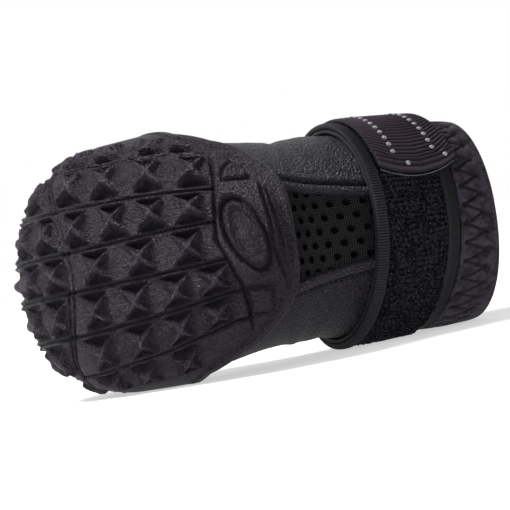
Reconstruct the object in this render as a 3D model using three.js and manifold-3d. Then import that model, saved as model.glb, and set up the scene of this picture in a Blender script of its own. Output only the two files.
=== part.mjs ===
// Dog boot: a rubber cup sole with cross lugs under a soft upper with a leaning shaft,
// a mesh window at the back, a loop band with a ribbed closing tab, and a cuff.
// Shoe frame: X to the toe, Y to the shoe's left, Z up from the ground, millimetres.
// The finished boot lies on its right side: +X to the collar, -Y to the sole, +Z up.
import * as THREE from 'three';
import { mergeVertices } from 'three/addons/utils/BufferGeometryUtils.js';
import Module from 'manifold-3d';

// Last
const LAST_LENGTH = 84;
const BALL_WIDTH = 59;
const INSTEP_HEIGHT = 36.5;
const SHAFT_RISE = 53;
const TOE_REACH = 33.5;
const TOE_SQUARENESS = 2.15;

// Upper
const WALL = 1.8;
const VAMP_STEP = 0.4;
const SEAM_RISE = 0.7;
const SEAM_WIDTH = 2.6;
const CLEARANCE = 0.3;
const FEATHER_WIDTH = 7;

// Sole
const SOLE_THICKNESS = 2.3;
const LUG_HEIGHT = 1.4;
const LUG_LENGTH = 8.8;
const LUG_WIDTH = 7.2;
const LUG_PITCH = 12.8;
const GROOVE_WIDTH = 1.3;
const GROOVE_DEPTH = 0.9;
const BADGE_LENGTH = 19;
const BADGE_WIDTH = 10;
const BADGE_TILT = 20;
const BADGE_STATION = 3.1;
const BADGE_TURN = 3;
const RIB_HEIGHT = 0.7;
const RIB_WIDTH = 1.5;
const RIM_LIP = 0.5;
const SOLE_END = 6;

// Insole
const INSOLE_THICKNESS = 2;

// Window and its mesh
const WINDOW_HEEL_WIDTH = 24;
const WINDOW_TOP_WIDTH = 14.5;
const WINDOW_FROM = 4.05;
const WINDOW_TO = 6.15;
const MESH_THICKNESS = 1.1;
const MESH_SINK = 0.4;

// Strap
const STRAP_WIDTH = 25;
const STRAP_MIDDLE = 6.645;
const STRAP_DROP = 5;
const STRAP_LEVEL = 0.3;
const STRAP_SKEW = 2;
const BACKING_THICKNESS = 0.8;
const LOOP_WIDTH = 17;
const LOOP_THICKNESS = 1.1;
const BINDING_WIDTH = 3.3;
const BINDING_THICKNESS = 1.7;
const TAB_WIDTH = 23;
const TAB_THICKNESS = 1;
const TAB_HEM = 4;

// Cuff
const CUFF_THICKNESS = 0.9;
const CUFF_TURN = 6;

// How it lies
const FLAT_DEPTH = 0.4;
const REST_STATION = 0.3;
const ROUND_STEPS = 32;
const TOE_STEPS = 7;

// Sections of the last from the ball to the collar.
// backX, frontX: share of LAST_LENGTH; backFoot: share of INSTEP_HEIGHT;
// backShaft, frontShaft: share of SHAFT_RISE; half: share of BALL_WIDTH;
// widest: where along the section it is widest; under, over: how square its two halves are.
const SECTIONS = [
  { backX: 0.143, backFoot: 0.077, backShaft: 0, frontX: 0.143, frontShaft: 0,
    half: 0.5, widest: 0.4, under: 2.6, over: 2.2 },
  { backX: -0.036, backFoot: 0.077, backShaft: 0, frontX: 0.083, frontShaft: 0.028,
    half: 0.502, widest: 0.41, under: 2.6, over: 2.2 },
  { backX: -0.202, backFoot: 0.093, backShaft: 0, frontX: 0.024, frontShaft: 0.072,
    half: 0.482, widest: 0.43, under: 2.5, over: 2.2 },
  { backX: -0.345, backFoot: 0.178, backShaft: 0, frontX: -0.036, frontShaft: 0.123,
    half: 0.451, widest: 0.46, under: 2.4, over: 2.1 },
  { backX: -0.435, backFoot: 0.3, backShaft: 0.039, frontX: -0.071, frontShaft: 0.189,
    half: 0.437, widest: 0.49, under: 2.2, over: 2.1 },
  { backX: -0.494, backFoot: 0.4, backShaft: 0.14, frontX: -0.101, frontShaft: 0.264,
    half: 0.437, widest: 0.5, under: 2.1, over: 2.1 },
  { backX: -0.59, backFoot: 0.6, backShaft: 0.285, frontX: -0.161, frontShaft: 0.462,
    half: 0.441, widest: 0.5, under: 2.1, over: 2.1 },
  { backX: -0.69, backFoot: 0.8, backShaft: 0.421, frontX: -0.263, frontShaft: 0.728,
    half: 0.437, widest: 0.5, under: 2.1, over: 2.1 },
  { backX: -0.792, backFoot: 1, backShaft: 0.535, frontX: -0.367, frontShaft: 0.978,
    half: 0.427, widest: 0.5, under: 2.1, over: 2.1 },
];
const COLLAR = SECTIONS.length - 1;

// Top line of the cup sole seen from the side.
// along: share of LAST_LENGTH; up: share of INSTEP_HEIGHT.
const RIM_LINE = [
  { along: -0.62, up: 0.38 },
  { along: -0.44, up: 0.385 },
  { along: -0.37, up: 0.335 },
  { along: -0.25, up: 0.295 },
  { along: -0.12, up: 0.315 },
  { along: -0.02, up: 0.42 },
  { along: 0.08, up: 0.54 },
  { along: 0.2, up: 0.61 },
  { along: 0.36, up: 0.665 },
  { along: 0.7, up: 0.74 },
];

// Lanes of cross lugs. angle: degrees round the sole from its middle line at the ball;
// from, to: stations of the first and last lug; the toe lies below zero.
const LUG_LANES = [
  { angle: 0, from: -3.3, to: 2.1 },
  { angle: 18, from: -3.65, to: 2.2 },
  { angle: 39, from: -3.35, to: 2.3 },
  { angle: 59, from: -1.75, to: 2.1 },
];
const LANE_EDGES = [9.5, 28.5, 50];
const LANE_CLOSING = 0.055;

// Cross grooves. middle: station on the middle line; bend: stations gained at 40 degrees;
// skew: stations lost at 40 degrees on the left side; reach: degrees to each side.
const TOE_GROOVE = { middle: -0.5, bend: -0.42, skew: 0, reach: 60 };
const HEEL_GROOVE = { middle: 2.64, bend: 0.05, skew: 0.18, reach: 47 };

// Curved ribs of the heel panel. from, to: degrees round the sole; station: where they start;
// bulge: stations gained half way; wide: share of RIB_WIDTH.
const HEEL_RIBS = [
  { from: 29, to: 45, station: 2.86, bulge: 0.45, wide: 1 },
  { from: -36, to: -25, station: 3.1, bulge: 0.12, wide: 2 },
  { from: -21, to: 22, station: 3.62, bulge: 0.12, wide: 1 },
  { from: -24, to: 24, station: 3.95, bulge: 0.1, wide: 1 },
];

const wasm = await Module();
wasm.setup();

const SIDE = Math.PI / 2;
const TOE_TURN = THREE.MathUtils.degToRad(30);
const rad = THREE.MathUtils.degToRad;
const mix = THREE.MathUtils.lerp;

// One column of the section table as a length
const COLUMNS = SECTIONS.map((row) => ({
  backX: row.backX * LAST_LENGTH,
  backZ: row.backFoot * INSTEP_HEIGHT + row.backShaft * SHAFT_RISE,
  frontX: row.frontX * LAST_LENGTH,
  frontZ: INSTEP_HEIGHT + row.frontShaft * SHAFT_RISE,
  half: row.half * BALL_WIDTH,
  widest: row.widest,
  under: row.under,
  over: row.over,
}));

// Section at a station, smooth between rows and straight past the collar
function sectionAt(station) {
  const base = THREE.MathUtils.clamp(Math.floor(station), 0, COLLAR - 1);
  const f = station - base;
  const section = {};
  for (const name of Object.keys(COLUMNS[0])) {
    const at = (i) => COLUMNS[THREE.MathUtils.clamp(i, 0, COLLAR)][name];
    const a = at(base);
    const b = at(base + 1);
    const before = base > 0 ? at(base - 1) : 2 * a - b;
    const after = base < COLLAR - 1 ? at(base + 2) : 2 * b - a;
    const startSlope = (b - before) / 2;
    const endSlope = (after - a) / 2;
    if (f > 1) {
      section[name] = b + (f - 1) * endSlope;
    } else {
      const f2 = f * f;
      const f3 = f2 * f;
      section[name] = (2 * f3 - 3 * f2 + 1) * a + (f3 - 2 * f2 + f) * startSlope
        + (3 * f2 - 2 * f3) * b + (f3 - f2) * endSlope;
    }
  }
  return section;
}

// Depth of a rounded section at a share of its width
function depthShare(acrossShare, squareness) {
  const rest = 1 - Math.abs(acrossShare) ** squareness;
  return Math.max(0, rest) ** (1 / squareness);
}

// Point of the last's surface, moved out by an offset. Station 0 is the ball and 8 the collar;
// below 0 it turns round the toe. Turn 0 is the middle of the sole or of the back.
function skin(station, turn, offset) {
  const across = Math.sin(turn);
  if (station >= 0) {
    const s = sectionAt(station);
    const dx = s.frontX - s.backX;
    const dz = s.frontZ - s.backZ;
    const length = Math.hypot(dx, dz);
    const low = Math.cos(turn) > 0;
    const reach = low
      ? -(length * s.widest + offset) * depthShare(across, s.under)
      : (length * (1 - s.widest) + offset) * depthShare(across, s.over);
    return new THREE.Vector3(
      s.backX + dx * s.widest + (dx / length) * reach,
      (s.half + offset) * across,
      s.backZ + dz * s.widest + (dz / length) * reach,
    );
  }
  return toeSkin(-station * TOE_TURN, turn, offset);
}

// Point of the toe's dome. Lift 0 is under the ball and half a turn is on top of it.
function toeSkin(lift, turn, offset) {
  const s = sectionAt(0);
  const height = s.frontZ - s.backZ;
  const middle = s.backZ + height * s.widest;
  const blend = mix(s.under, s.over, lift / Math.PI);
  const evenBlend = (s.under + s.over) / 2;
  const squareness = blend + (TOE_SQUARENESS - evenBlend) * Math.sin(lift) ** 2;
  const depth = depthShare(Math.sin(turn), squareness);
  const below = lift < SIDE;
  const halfHeight = (below ? height * s.widest : height * (1 - s.widest)) + offset;
  return new THREE.Vector3(
    s.backX + (TOE_REACH + offset) * Math.sin(lift) * depth,
    (s.half + offset) * Math.sin(turn),
    middle - halfHeight * Math.cos(lift) * depth,
  );
}

// Millimetres in one station and in one radian of turn
function measureAt(station, turn, offset) {
  const step = 0.02;
  const here = skin(station, turn, offset);
  const along = skin(station + step, turn, offset).sub(here);
  const round = skin(station, turn + step, offset).sub(here);
  return { along: along.length() / step, round: round.length() / step };
}

// Closed solid from a triangle list, with shared corners merged and faces turned out
function solidOf(positions, triangles) {
  const raw = new THREE.BufferGeometry();
  raw.setAttribute('position', new THREE.Float32BufferAttribute(positions, 3));
  raw.setIndex(triangles);
  const merged = mergeVertices(raw, 1e-4);
  const point = merged.getAttribute('position');
  const index = merged.getIndex();
  const kept = [];
  let volume = 0;
  const a = new THREE.Vector3();
  const b = new THREE.Vector3();
  const c = new THREE.Vector3();
  for (let i = 0; i < index.count; i += 3) {
    const [p, q, r] = [index.getX(i), index.getX(i + 1), index.getX(i + 2)];
    if (p !== q && q !== r && r !== p) {
      kept.push(p, q, r);
      a.fromBufferAttribute(point, p);
      b.fromBufferAttribute(point, q);
      c.fromBufferAttribute(point, r);
      volume += a.dot(b.cross(c));
    }
  }
  if (volume < 0) {
    kept.reverse();
  }
  return new wasm.Manifold(new wasm.Mesh({
    numProp: 3,
    vertProperties: new Float32Array(point.array),
    triVerts: new Uint32Array(kept),
  }));
}

function solidOfGeometry(geometry) {
  geometry.deleteAttribute('normal');
  geometry.deleteAttribute('uv');
  const count = geometry.getAttribute('position').count;
  const index = geometry.getIndex()?.array ?? Array.from({ length: count }, (_, i) => i);
  return solidOf(Array.from(geometry.getAttribute('position').array), Array.from(index));
}

// Patch of wall: rows and columns of points on an inner and an outer face, closed at its edges.
// place(u, v, face) gives a point; face 0 is inner and 1 outer.
function wallPatch(rows, columns, isRing, place) {
  const positions = [];
  const triangles = [];
  const width = isRing ? columns : columns + 1;
  for (const face of [0, 1]) {
    for (let i = 0; i <= rows; i++) {
      for (let j = 0; j < width; j++) {
        positions.push(...place(i / rows, j / columns, face).toArray());
      }
    }
  }
  const at = (i, j, face) => (face * (rows + 1) + i) * width + (j % width);
  const quad = (a, b, c, d) => triangles.push(a, b, c, a, c, d);
  for (let i = 0; i < rows; i++) {
    for (let j = 0; j < columns; j++) {
      quad(at(i, j, 1), at(i, j + 1, 1), at(i + 1, j + 1, 1), at(i + 1, j, 1));
      quad(at(i, j, 0), at(i + 1, j, 0), at(i + 1, j + 1, 0), at(i, j + 1, 0));
    }
  }
  for (let j = 0; j < columns; j++) {
    quad(at(0, j, 0), at(0, j + 1, 0), at(0, j + 1, 1), at(0, j, 1));
    quad(at(rows, j, 1), at(rows, j + 1, 1), at(rows, j + 1, 0), at(rows, j, 0));
  }
  if (!isRing) {
    for (let i = 0; i < rows; i++) {
      quad(at(i, 0, 1), at(i + 1, 0, 1), at(i + 1, 0, 0), at(i, 0, 0));
      quad(at(i, columns, 0), at(i + 1, columns, 0), at(i + 1, columns, 1), at(i, columns, 1));
    }
  }
  return solidOf(positions, triangles);
}

// Whole last moved out by an offset, from the toe to a station of the shaft
function lastSolid(offset, end) {
  const stations = [0, 1, 2, 2.6, 3.2, 3.8, 4.4, 5, 6, 7].filter((row) => row < end).concat(end);
  const positions = [];
  const triangles = [];
  const push = (point) => positions.push(...point.toArray()) / 3 - 1;
  const half = ROUND_STEPS / 2;
  const sheet = (grid) => {
    for (let i = 0; i + 1 < grid.length; i++) {
      for (let j = 0; j + 1 < grid[i].length; j++) {
        triangles.push(grid[i][j], grid[i][j + 1], grid[i + 1][j + 1]);
        triangles.push(grid[i][j], grid[i + 1][j + 1], grid[i + 1][j]);
      }
    }
  };
  const turns = Array.from({ length: ROUND_STEPS + 1 }, (_, j) => (j / half) * Math.PI - SIDE);
  sheet(stations.map((station) => turns.map((turn) => push(skin(station, turn, offset)))));
  const lifts = Array.from({ length: TOE_STEPS + 1 }, (_, i) => Math.PI * (1 - i / TOE_STEPS));
  const front = turns.slice(0, half + 1);
  const dome = lifts.map((lift) => front.map((turn) => push(toeSkin(lift, turn, offset))));
  sheet(dome);
  const rim = turns.map((turn) => push(skin(end, turn, offset)));
  const s = sectionAt(end);
  const cap = push(new THREE.Vector3((s.backX + s.frontX) / 2, 0, (s.backZ + s.frontZ) / 2));
  for (let j = 0; j < ROUND_STEPS; j++) {
    triangles.push(rim[j], rim[j + 1], cap);
  }
  return solidOf(positions, triangles);
}

// Block under a line seen from the side, wider than the boot
function sideBlock(outline) {
  const shape = new THREE.Shape(outline);
  const depth = BALL_WIDTH * 2;
  const geometry = new THREE.ExtrudeGeometry(shape, { depth, bevelEnabled: false, steps: 1 });
  geometry.rotateX(SIDE);
  geometry.translate(0, depth / 2, 0);
  return solidOfGeometry(geometry);
}

// Rib or groove bar that follows a path over the surface.
// path(u) gives station and turn; low and high are its offsets.
function surfaceBar(path, steps, width, low, high) {
  const spots = Array.from({ length: steps + 1 }, (_, i) => path(i / steps));
  return wallPatch(steps, 1, false, (u, v, face) => {
    const i = Math.round(u * steps);
    const here = spots[i];
    const previous = spots[Math.max(0, i - 1)];
    const next = spots[Math.min(steps, i + 1)];
    const scale = measureAt(here.station, here.turn, low);
    const along = (next.station - previous.station) * scale.along;
    const round = (next.turn - previous.turn) * scale.round;
    const length = Math.hypot(along, round);
    const side = (v - 0.5) * width;
    return skin(
      here.station - (side * round) / length / scale.along,
      here.turn + (side * along) / length / scale.round,
      face ? high : low,
    );
  });
}

// Frame on the surface: X along the boot, Y round it, Z out
function surfaceFrame(station, turn, offset) {
  const step = 0.02;
  const here = skin(station, turn, offset);
  const along = skin(station + step, turn, offset).sub(here).normalize();
  const round = skin(station, turn + step, offset).sub(here);
  const out = new THREE.Vector3().crossVectors(round, along).normalize();
  const middle = skin(station, 0, 0).lerp(skin(station, Math.PI, 0), 0.5);
  if (out.dot(here.clone().sub(middle)) < 0) {
    out.negate();
  }
  const across = new THREE.Vector3().crossVectors(out, along);
  return new THREE.Matrix4().makeBasis(along, across, out).setPosition(here);
}

// Cross lug with four slanting arms that rise to its middle, rooted in the sole
function crossLug(station, turn) {
  const corners = 8;
  const root = LUG_LENGTH * 0.8;
  const positions = [0, 0, -root, 0, 0, LUG_HEIGHT];
  const triangles = [];
  for (let k = 0; k < corners; k++) {
    const angle = (k / corners) * 2 * Math.PI;
    const reach = k % 2 === 1 ? Math.SQRT1_2 : 0.2;
    positions.push(Math.cos(angle) * reach * LUG_LENGTH, Math.sin(angle) * reach * LUG_WIDTH, 0);
    const here = 2 + k;
    const next = 2 + ((k + 1) % corners);
    triangles.push(0, next, here, 1, here, next);
  }
  const raw = new THREE.BufferGeometry();
  raw.setAttribute('position', new THREE.Float32BufferAttribute(positions, 3));
  raw.setIndex(triangles);
  raw.translate(0, 0, LUG_HEIGHT * 0.1);
  raw.applyMatrix4(surfaceFrame(station, turn, SOLE_OUT));
  return solidOfGeometry(raw);
}

const SOLE_IN = CLEARANCE;
const SOLE_OUT = SOLE_IN + SOLE_THICKNESS;

// Lanes close up towards the heel
function laneTurn(angle, station) {
  return rad(angle) * (1 - LANE_CLOSING * Math.max(0, station));
}

function rimHeight(x) {
  const along = x / LAST_LENGTH;
  const last = RIM_LINE.length - 1;
  const i = THREE.MathUtils.clamp(RIM_LINE.findIndex((p) => p.along > along), 1, last);
  const [a, b] = [RIM_LINE[i - 1], RIM_LINE[i]];
  return INSTEP_HEIGHT * mix(a.up, b.up, (along - a.along) / (b.along - a.along));
}

// Block under the rim line, or under a line lower by some millimetres
function belowRim(lower) {
  const points = RIM_LINE.map((p) => new THREE.Vector2(p.along * LAST_LENGTH, p.up * INSTEP_HEIGHT - lower));
  points.push(new THREE.Vector2(points.at(-1).x, -INSTEP_HEIGHT));
  points.push(new THREE.Vector2(points[0].x, -INSTEP_HEIGHT));
  return sideBlock(points.reverse());
}

function lugStations(lane) {
  const middle = measureAt((lane.from + lane.to) / 2, rad(lane.angle), SOLE_OUT);
  const count = Math.max(2, Math.round(((lane.to - lane.from) * middle.along) / LUG_PITCH) + 1);
  return Array.from({ length: count }, (_, i) => mix(lane.from, lane.to, i / (count - 1)));
}

function soleSolid() {
  const lip = lastSolid(SOLE_OUT + RIM_LIP, SOLE_END).intersect(belowRim(0)).subtract(belowRim(RIB_WIDTH));
  let cup = lastSolid(SOLE_OUT, SOLE_END).intersect(belowRim(0)).add(lip);
  const angles = LUG_LANES.flatMap((lane) => (lane.angle ? [lane.angle, -lane.angle] : [0]));
  for (const angle of angles) {
    const lane = LUG_LANES.find((row) => row.angle === Math.abs(angle));
    for (const station of lugStations(lane)) {
      const turn = laneTurn(angle, station);
      const spot = skin(station, turn, SOLE_OUT);
      if (spot.z < rimHeight(spot.x) - LUG_WIDTH / 3) {
        cup = cup.add(crossLug(station, turn).intersect(belowRim(RIB_WIDTH)));
      }
    }
  }
  for (const rib of heelRibs()) {
    cup = cup.add(rib);
  }
  for (const groove of [...laneGrooves(), ...crossGrooves()]) {
    cup = cup.subtract(groove);
  }
  return cup.subtract(lastSolid(SOLE_IN, SOLE_END + 0.4));
}

// Grooves between the lanes, in front of and behind the toe's cross groove
function laneGrooves() {
  const low = SOLE_OUT - GROOVE_DEPTH;
  const high = SOLE_OUT + 0.4;
  const bars = [];
  for (const edge of LANE_EDGES.flatMap((angle) => [angle, -angle])) {
    const lane = (from, to) => (u) => {
      const station = mix(from, to, u);
      return { station, turn: laneTurn(edge, station) };
    };
    bars.push(surfaceBar(lane(-0.35, HEEL_GROOVE.middle - 0.15), 4, GROOVE_WIDTH, low, high));
    if (Math.abs(edge) < LANE_EDGES[2]) {
      bars.push(surfaceBar(lane(-3.5, -0.95), 3, GROOVE_WIDTH, low, high));
    }
  }
  return bars;
}

function crossGrooves() {
  const low = SOLE_OUT - GROOVE_DEPTH;
  const high = SOLE_OUT + 0.4;
  return [TOE_GROOVE, HEEL_GROOVE].map((groove) => surfaceBar((u) => {
    const turn = rad(mix(-groove.reach, groove.reach, u));
    const share = turn / rad(40);
    return { station: groove.middle + groove.bend * share ** 2 - groove.skew * share, turn };
  }, 8, GROOVE_WIDTH, low, high));
}

// Oval badge with a raised rim, a half-round and a square mark, and two curved heel ribs
function heelRibs() {
  const low = SOLE_IN + SOLE_THICKNESS / 2;
  const high = SOLE_OUT + RIB_HEIGHT;
  const centre = { station: BADGE_STATION, turn: rad(BADGE_TURN) };
  const scale = measureAt(centre.station, centre.turn, SOLE_OUT);
  const oval = (u) => {
    const angle = u * 2 * Math.PI;
    const long = (Math.cos(angle) * (BADGE_LENGTH - RIB_WIDTH)) / 2;
    const short = (Math.sin(angle) * (BADGE_WIDTH - RIB_WIDTH)) / 2;
    const tilt = rad(BADGE_TILT);
    const along = -long * Math.sin(tilt) + short * Math.cos(tilt);
    const round = long * Math.cos(tilt) + short * Math.sin(tilt);
    return { station: centre.station + along / scale.along, turn: centre.turn + round / scale.round };
  };
  const ribs = HEEL_RIBS.map((rib) => surfaceBar((u) => ({
    station: rib.station + rib.bulge * Math.sin(u * Math.PI),
    turn: rad(mix(rib.from, rib.to, u)),
  }), 5, RIB_WIDTH * rib.wide, low, high));
  return [ovalRing(oval, low, high), ...ribs];
}

// Raised ring along a closed path on the surface
function ovalRing(path, low, high) {
  const steps = 14;
  return wallPatch(1, steps, true, (u, v, face) => {
    const here = path(v);
    const centre = path(v + 0.5);
    const middle = {
      station: (here.station + centre.station) / 2,
      turn: (here.turn + centre.turn) / 2,
    };
    const scale = measureAt(here.station, here.turn, low);
    const along = (here.station - middle.station) * scale.along;
    const round = (here.turn - middle.turn) * scale.round;
    const length = Math.hypot(along, round);
    const grow = 1 + ((u - 0.5) * RIB_WIDTH) / length;
    return skin(
      middle.station + (here.station - middle.station) * grow,
      middle.turn + (here.turn - middle.turn) * grow,
      face ? high : low,
    );
  });
}

// Turn of the window's side edge at a station of the back
function windowTurn(station, inset) {
  const share = (station - WINDOW_FROM) / (WINDOW_TO - WINDOW_FROM);
  const half = mix(WINDOW_HEEL_WIDTH, WINDOW_TOP_WIDTH, share) / 2 - inset;
  return Math.asin(half / sectionAt(station).half);
}

function windowPatch(inset, inner, outer) {
  const step = inset / measureAt(5, 0, 0).along;
  return wallPatch(6, 6, false, (u, v, face) => {
    const station = mix(WINDOW_FROM + step, WINDOW_TO - step, u);
    return skin(station, windowTurn(station, inset) * (2 * v - 1), face ? outer : inner);
  });
}

// Front part of the boot that the mesh vamp covers
function vampBlock() {
  const at = (along, up) => new THREE.Vector2(along * LAST_LENGTH, up * INSTEP_HEIGHT);
  return sideBlock([at(1, -1), at(1, 2), at(0.09, 2), at(0.02, 1.05), at(-0.14, 0.5), at(-0.2, -1)]);
}

function upperSolid() {
  const under = lastSolid(-VAMP_STEP, COLLAR);
  const outer = lastSolid(0, COLLAR).subtract(vampBlock()).add(under);
  const featherTurn = (station) => {
    const s = sectionAt(Math.max(0, station));
    return Math.asin((s.half - FEATHER_WIDTH) / s.half);
  };
  const opening = wallPatch(8, 10, false, (u, v, face) => {
    const station = mix(-1, 3.2, u);
    return skin(station, featherTurn(station) * (2 * v - 1), face ? WALL : -2 * WALL);
  });
  const seams = [1, -1].map((side) => surfaceBar((u) => {
    const station = mix(4.45, 5.72, u);
    const turn = windowTurn(station, -SEAM_WIDTH * 0.75);
    return { station, turn: side * turn };
  }, 5, SEAM_WIDTH, -WALL / 2, SEAM_RISE));
  return outer
    .add(seams[0])
    .add(seams[1])
    .subtract(lastSolid(-WALL, COLLAR + 0.4))
    .subtract(opening)
    .subtract(windowPatch(0, -2 * WALL, WALL));
}

function insoleSolid() {
  const top = -WALL - 2 * CLEARANCE - INSOLE_THICKNESS;
  return wallPatch(7, 8, false, (u, v, face) => {
    const station = mix(-1.15, 3.35, u);
    const end = 1 - 0.35 * Math.abs(2 * u - 1) ** 6;
    return skin(station, rad(60) * end * (2 * v - 1), face ? top + INSOLE_THICKNESS : top);
  });
}

// Station of a line that runs round the shaft with the strap, a distance from its middle
function strapStation(turn, distance) {
  const scale = measureAt(STRAP_MIDDLE, 0, 0).along;
  const away = 1 - Math.cos(turn);
  const drop = STRAP_DROP * (away - STRAP_LEVEL * away * away);
  const drift = distance - drop + STRAP_SKEW * Math.sin(turn);
  return STRAP_MIDDLE + drift / scale;
}

// Band round the shaft between two distances from the strap's middle
function strapBand(from, to, inner, outer, rows = 1) {
  return wallPatch(rows, ROUND_STEPS, true, (u, v, face) => {
    const turn = v * 2 * Math.PI;
    return skin(strapStation(turn, mix(from, to, u)), turn, face ? outer : inner);
  });
}

const BACKING_OUT = CLEARANCE + BACKING_THICKNESS;
const LOOP_IN = BACKING_OUT + CLEARANCE;
const LOOP_OUT = LOOP_IN + LOOP_THICKNESS;
const BINDING_END = BINDING_WIDTH - STRAP_WIDTH / 2;
const LOOP_START = BINDING_END + CLEARANCE;

// Closing tab: from the front of the shaft over its left side to a folded end on the back
function tabSolid() {
  const inner = LOOP_OUT + CLEARANCE;
  const outer = inner + TAB_THICKNESS;
  const start = BINDING_END + CLEARANCE;
  const end = rad(27);
  const band = (steps, from, low, high) => wallPatch(steps, 1, false, (u, v, face) => {
    const turn = mix(from, end, u);
    return skin(strapStation(turn, start + v * TAB_WIDTH), turn, face ? high : low);
  });
  const hemTurn = end + TAB_HEM / measureAt(STRAP_MIDDLE, end, outer).round;
  return band(16, rad(189), inner, outer)
    .add(band(2, hemTurn, outer - TAB_THICKNESS / 2, outer + TAB_THICKNESS));
}

// Ring round the shaft with a section of its own.
// section(turn) gives its corners in order, each a station and an offset.
function shaftRing(section) {
  const positions = [];
  const triangles = [];
  let corners = 0;
  for (let j = 0; j < ROUND_STEPS; j++) {
    const turn = (j / ROUND_STEPS) * 2 * Math.PI;
    const points = section(turn).map(([station, offset]) => skin(station, turn, offset));
    corners = points.length;
    points.forEach((point) => positions.push(...point.toArray()));
  }
  for (let j = 0; j < ROUND_STEPS; j++) {
    const next = (j + 1) % ROUND_STEPS;
    for (let k = 0; k < corners; k++) {
      const n = (k + 1) % corners;
      triangles.push(j * corners + k, j * corners + n, next * corners + n);
      triangles.push(j * corners + k, next * corners + n, next * corners + k);
    }
  }
  return solidOf(positions, triangles);
}

// Cuff: outside the shaft from the strap to the collar, over its edge and down the inside
function cuffSolid() {
  const scale = measureAt(COLLAR, 0, 0).along;
  const lip = COLLAR + CLEARANCE / scale;
  const edge = lip + CUFF_THICKNESS / scale;
  const turnedIn = COLLAR - CUFF_TURN / scale;
  const outside = CLEARANCE + CUFF_THICKNESS;
  const inside = -WALL - CLEARANCE;
  return shaftRing((turn) => {
    const from = strapStation(turn, STRAP_WIDTH / 2 + CLEARANCE);
    const middle = mix(from, COLLAR, 0.5);
    return [
      [from, CLEARANCE],
      [from, outside],
      [middle, outside],
      [edge, outside],
      [edge, inside - CUFF_THICKNESS],
      [turnedIn, inside - CUFF_THICKNESS],
      [turnedIn, inside],
      [lip, inside],
      [lip, CLEARANCE],
      [middle, CLEARANCE],
    ];
  });
}

// How the boot lies: the floor touches the sole's side and the strap's side
function lyingMatrix() {
  const soleSpot = skin(REST_STATION, -SIDE, SOLE_OUT);
  const strapSpot = skin(strapStation(-SIDE, STRAP_WIDTH / 4), -SIDE, LOOP_OUT);
  const lean = (soleSpot.y - strapSpot.y) / (strapSpot.z - soleSpot.z);
  const up = new THREE.Vector3(0, 1, lean).normalize();
  const along = new THREE.Vector3(-1, 0, 0);
  const across = new THREE.Vector3().crossVectors(up, along);
  const place = new THREE.Matrix4().makeBasis(along, across, up).invert();
  const spot = soleSpot.applyMatrix4(place);
  return new THREE.Matrix4().makeTranslation(-spot.x, -spot.y, -spot.z - FLAT_DEPTH).multiply(place);
}

const lying = lyingMatrix();

// Everything under the floor, for the flat spots that the boot rests on
function floorBlock() {
  const size = LAST_LENGTH * 4;
  const geometry = new THREE.BoxGeometry(size, size, BALL_WIDTH);
  geometry.translate(0, 0, -BALL_WIDTH / 2);
  geometry.applyMatrix4(lying.clone().invert());
  return solidOfGeometry(geometry);
}

const floor = floorBlock();

function finishMesh(name, solid, colour, roughness) {
  const mesh = solid.subtract(floor).getMesh();
  const geometry = new THREE.BufferGeometry();
  geometry.setAttribute('position', new THREE.Float32BufferAttribute(mesh.vertProperties, 3));
  geometry.setIndex(Array.from(mesh.triVerts));
  geometry.applyMatrix4(lying);
  const material = new THREE.MeshStandardMaterial({ color: colour, roughness, metalness: 0 });
  const piece = new THREE.Mesh(geometry, material);
  piece.name = name;
  return piece;
}

const boot = new THREE.Group();
boot.name = 'dog_boot';
const halfStrap = STRAP_WIDTH / 2;
const mesh = windowPatch(CLEARANCE, -MESH_SINK - MESH_THICKNESS, -MESH_SINK);
const backing = strapBand(-halfStrap, halfStrap, CLEARANCE, BACKING_OUT, 2);
const loop = strapBand(LOOP_START, LOOP_START + LOOP_WIDTH, LOOP_IN, LOOP_OUT);
const binding = strapBand(-halfStrap, BINDING_END, LOOP_IN, LOOP_IN + BINDING_THICKNESS);
boot.add(finishMesh('sole', soleSolid(), 0x322d35, 0.62));
boot.add(finishMesh('upper', upperSolid(), 0x3b3840, 0.7));
boot.add(finishMesh('insole', insoleSolid(), 0x2a282c, 0.9));
boot.add(finishMesh('back_mesh', mesh, 0x19191b, 0.9));
boot.add(finishMesh('strap_backing', backing, 0x232126, 0.9));
boot.add(finishMesh('strap_loop', loop, 0x17161c, 1));
boot.add(finishMesh('strap_binding', binding, 0x26242a, 0.85));
boot.add(finishMesh('strap_tab', tabSolid(), 0x352e36, 0.8));
boot.add(finishMesh('cuff', cuffSolid(), 0x333036, 0.8));

export default boot;
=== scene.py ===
import math

import bmesh
import bpy
import numpy as np
from bpy.props import FloatProperty, FloatVectorProperty, PointerProperty
from mathutils import Matrix, Vector


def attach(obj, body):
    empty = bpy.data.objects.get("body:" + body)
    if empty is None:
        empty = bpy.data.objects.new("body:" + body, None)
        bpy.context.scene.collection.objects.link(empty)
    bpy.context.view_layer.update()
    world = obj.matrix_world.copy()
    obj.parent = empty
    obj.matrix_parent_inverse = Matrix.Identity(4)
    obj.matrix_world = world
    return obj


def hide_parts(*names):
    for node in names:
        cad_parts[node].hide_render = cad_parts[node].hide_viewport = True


bl_info = {
    "name": "Dog boot",
    "version": (1, 0, 0),
    "blender": (4, 5, 0),
    "location": "3D Viewport > Sidebar > Dog boot",
    "description": "Rubber-soled dog boot with a mesh window, a loop strap and a cuff",
    "category": "Object",
}

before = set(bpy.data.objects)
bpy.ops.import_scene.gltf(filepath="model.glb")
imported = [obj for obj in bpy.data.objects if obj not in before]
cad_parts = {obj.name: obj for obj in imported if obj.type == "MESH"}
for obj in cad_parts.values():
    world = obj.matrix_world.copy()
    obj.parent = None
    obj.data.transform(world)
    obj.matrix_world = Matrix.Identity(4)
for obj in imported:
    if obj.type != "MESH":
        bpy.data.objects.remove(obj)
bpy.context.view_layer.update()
MM = 0.001

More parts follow.
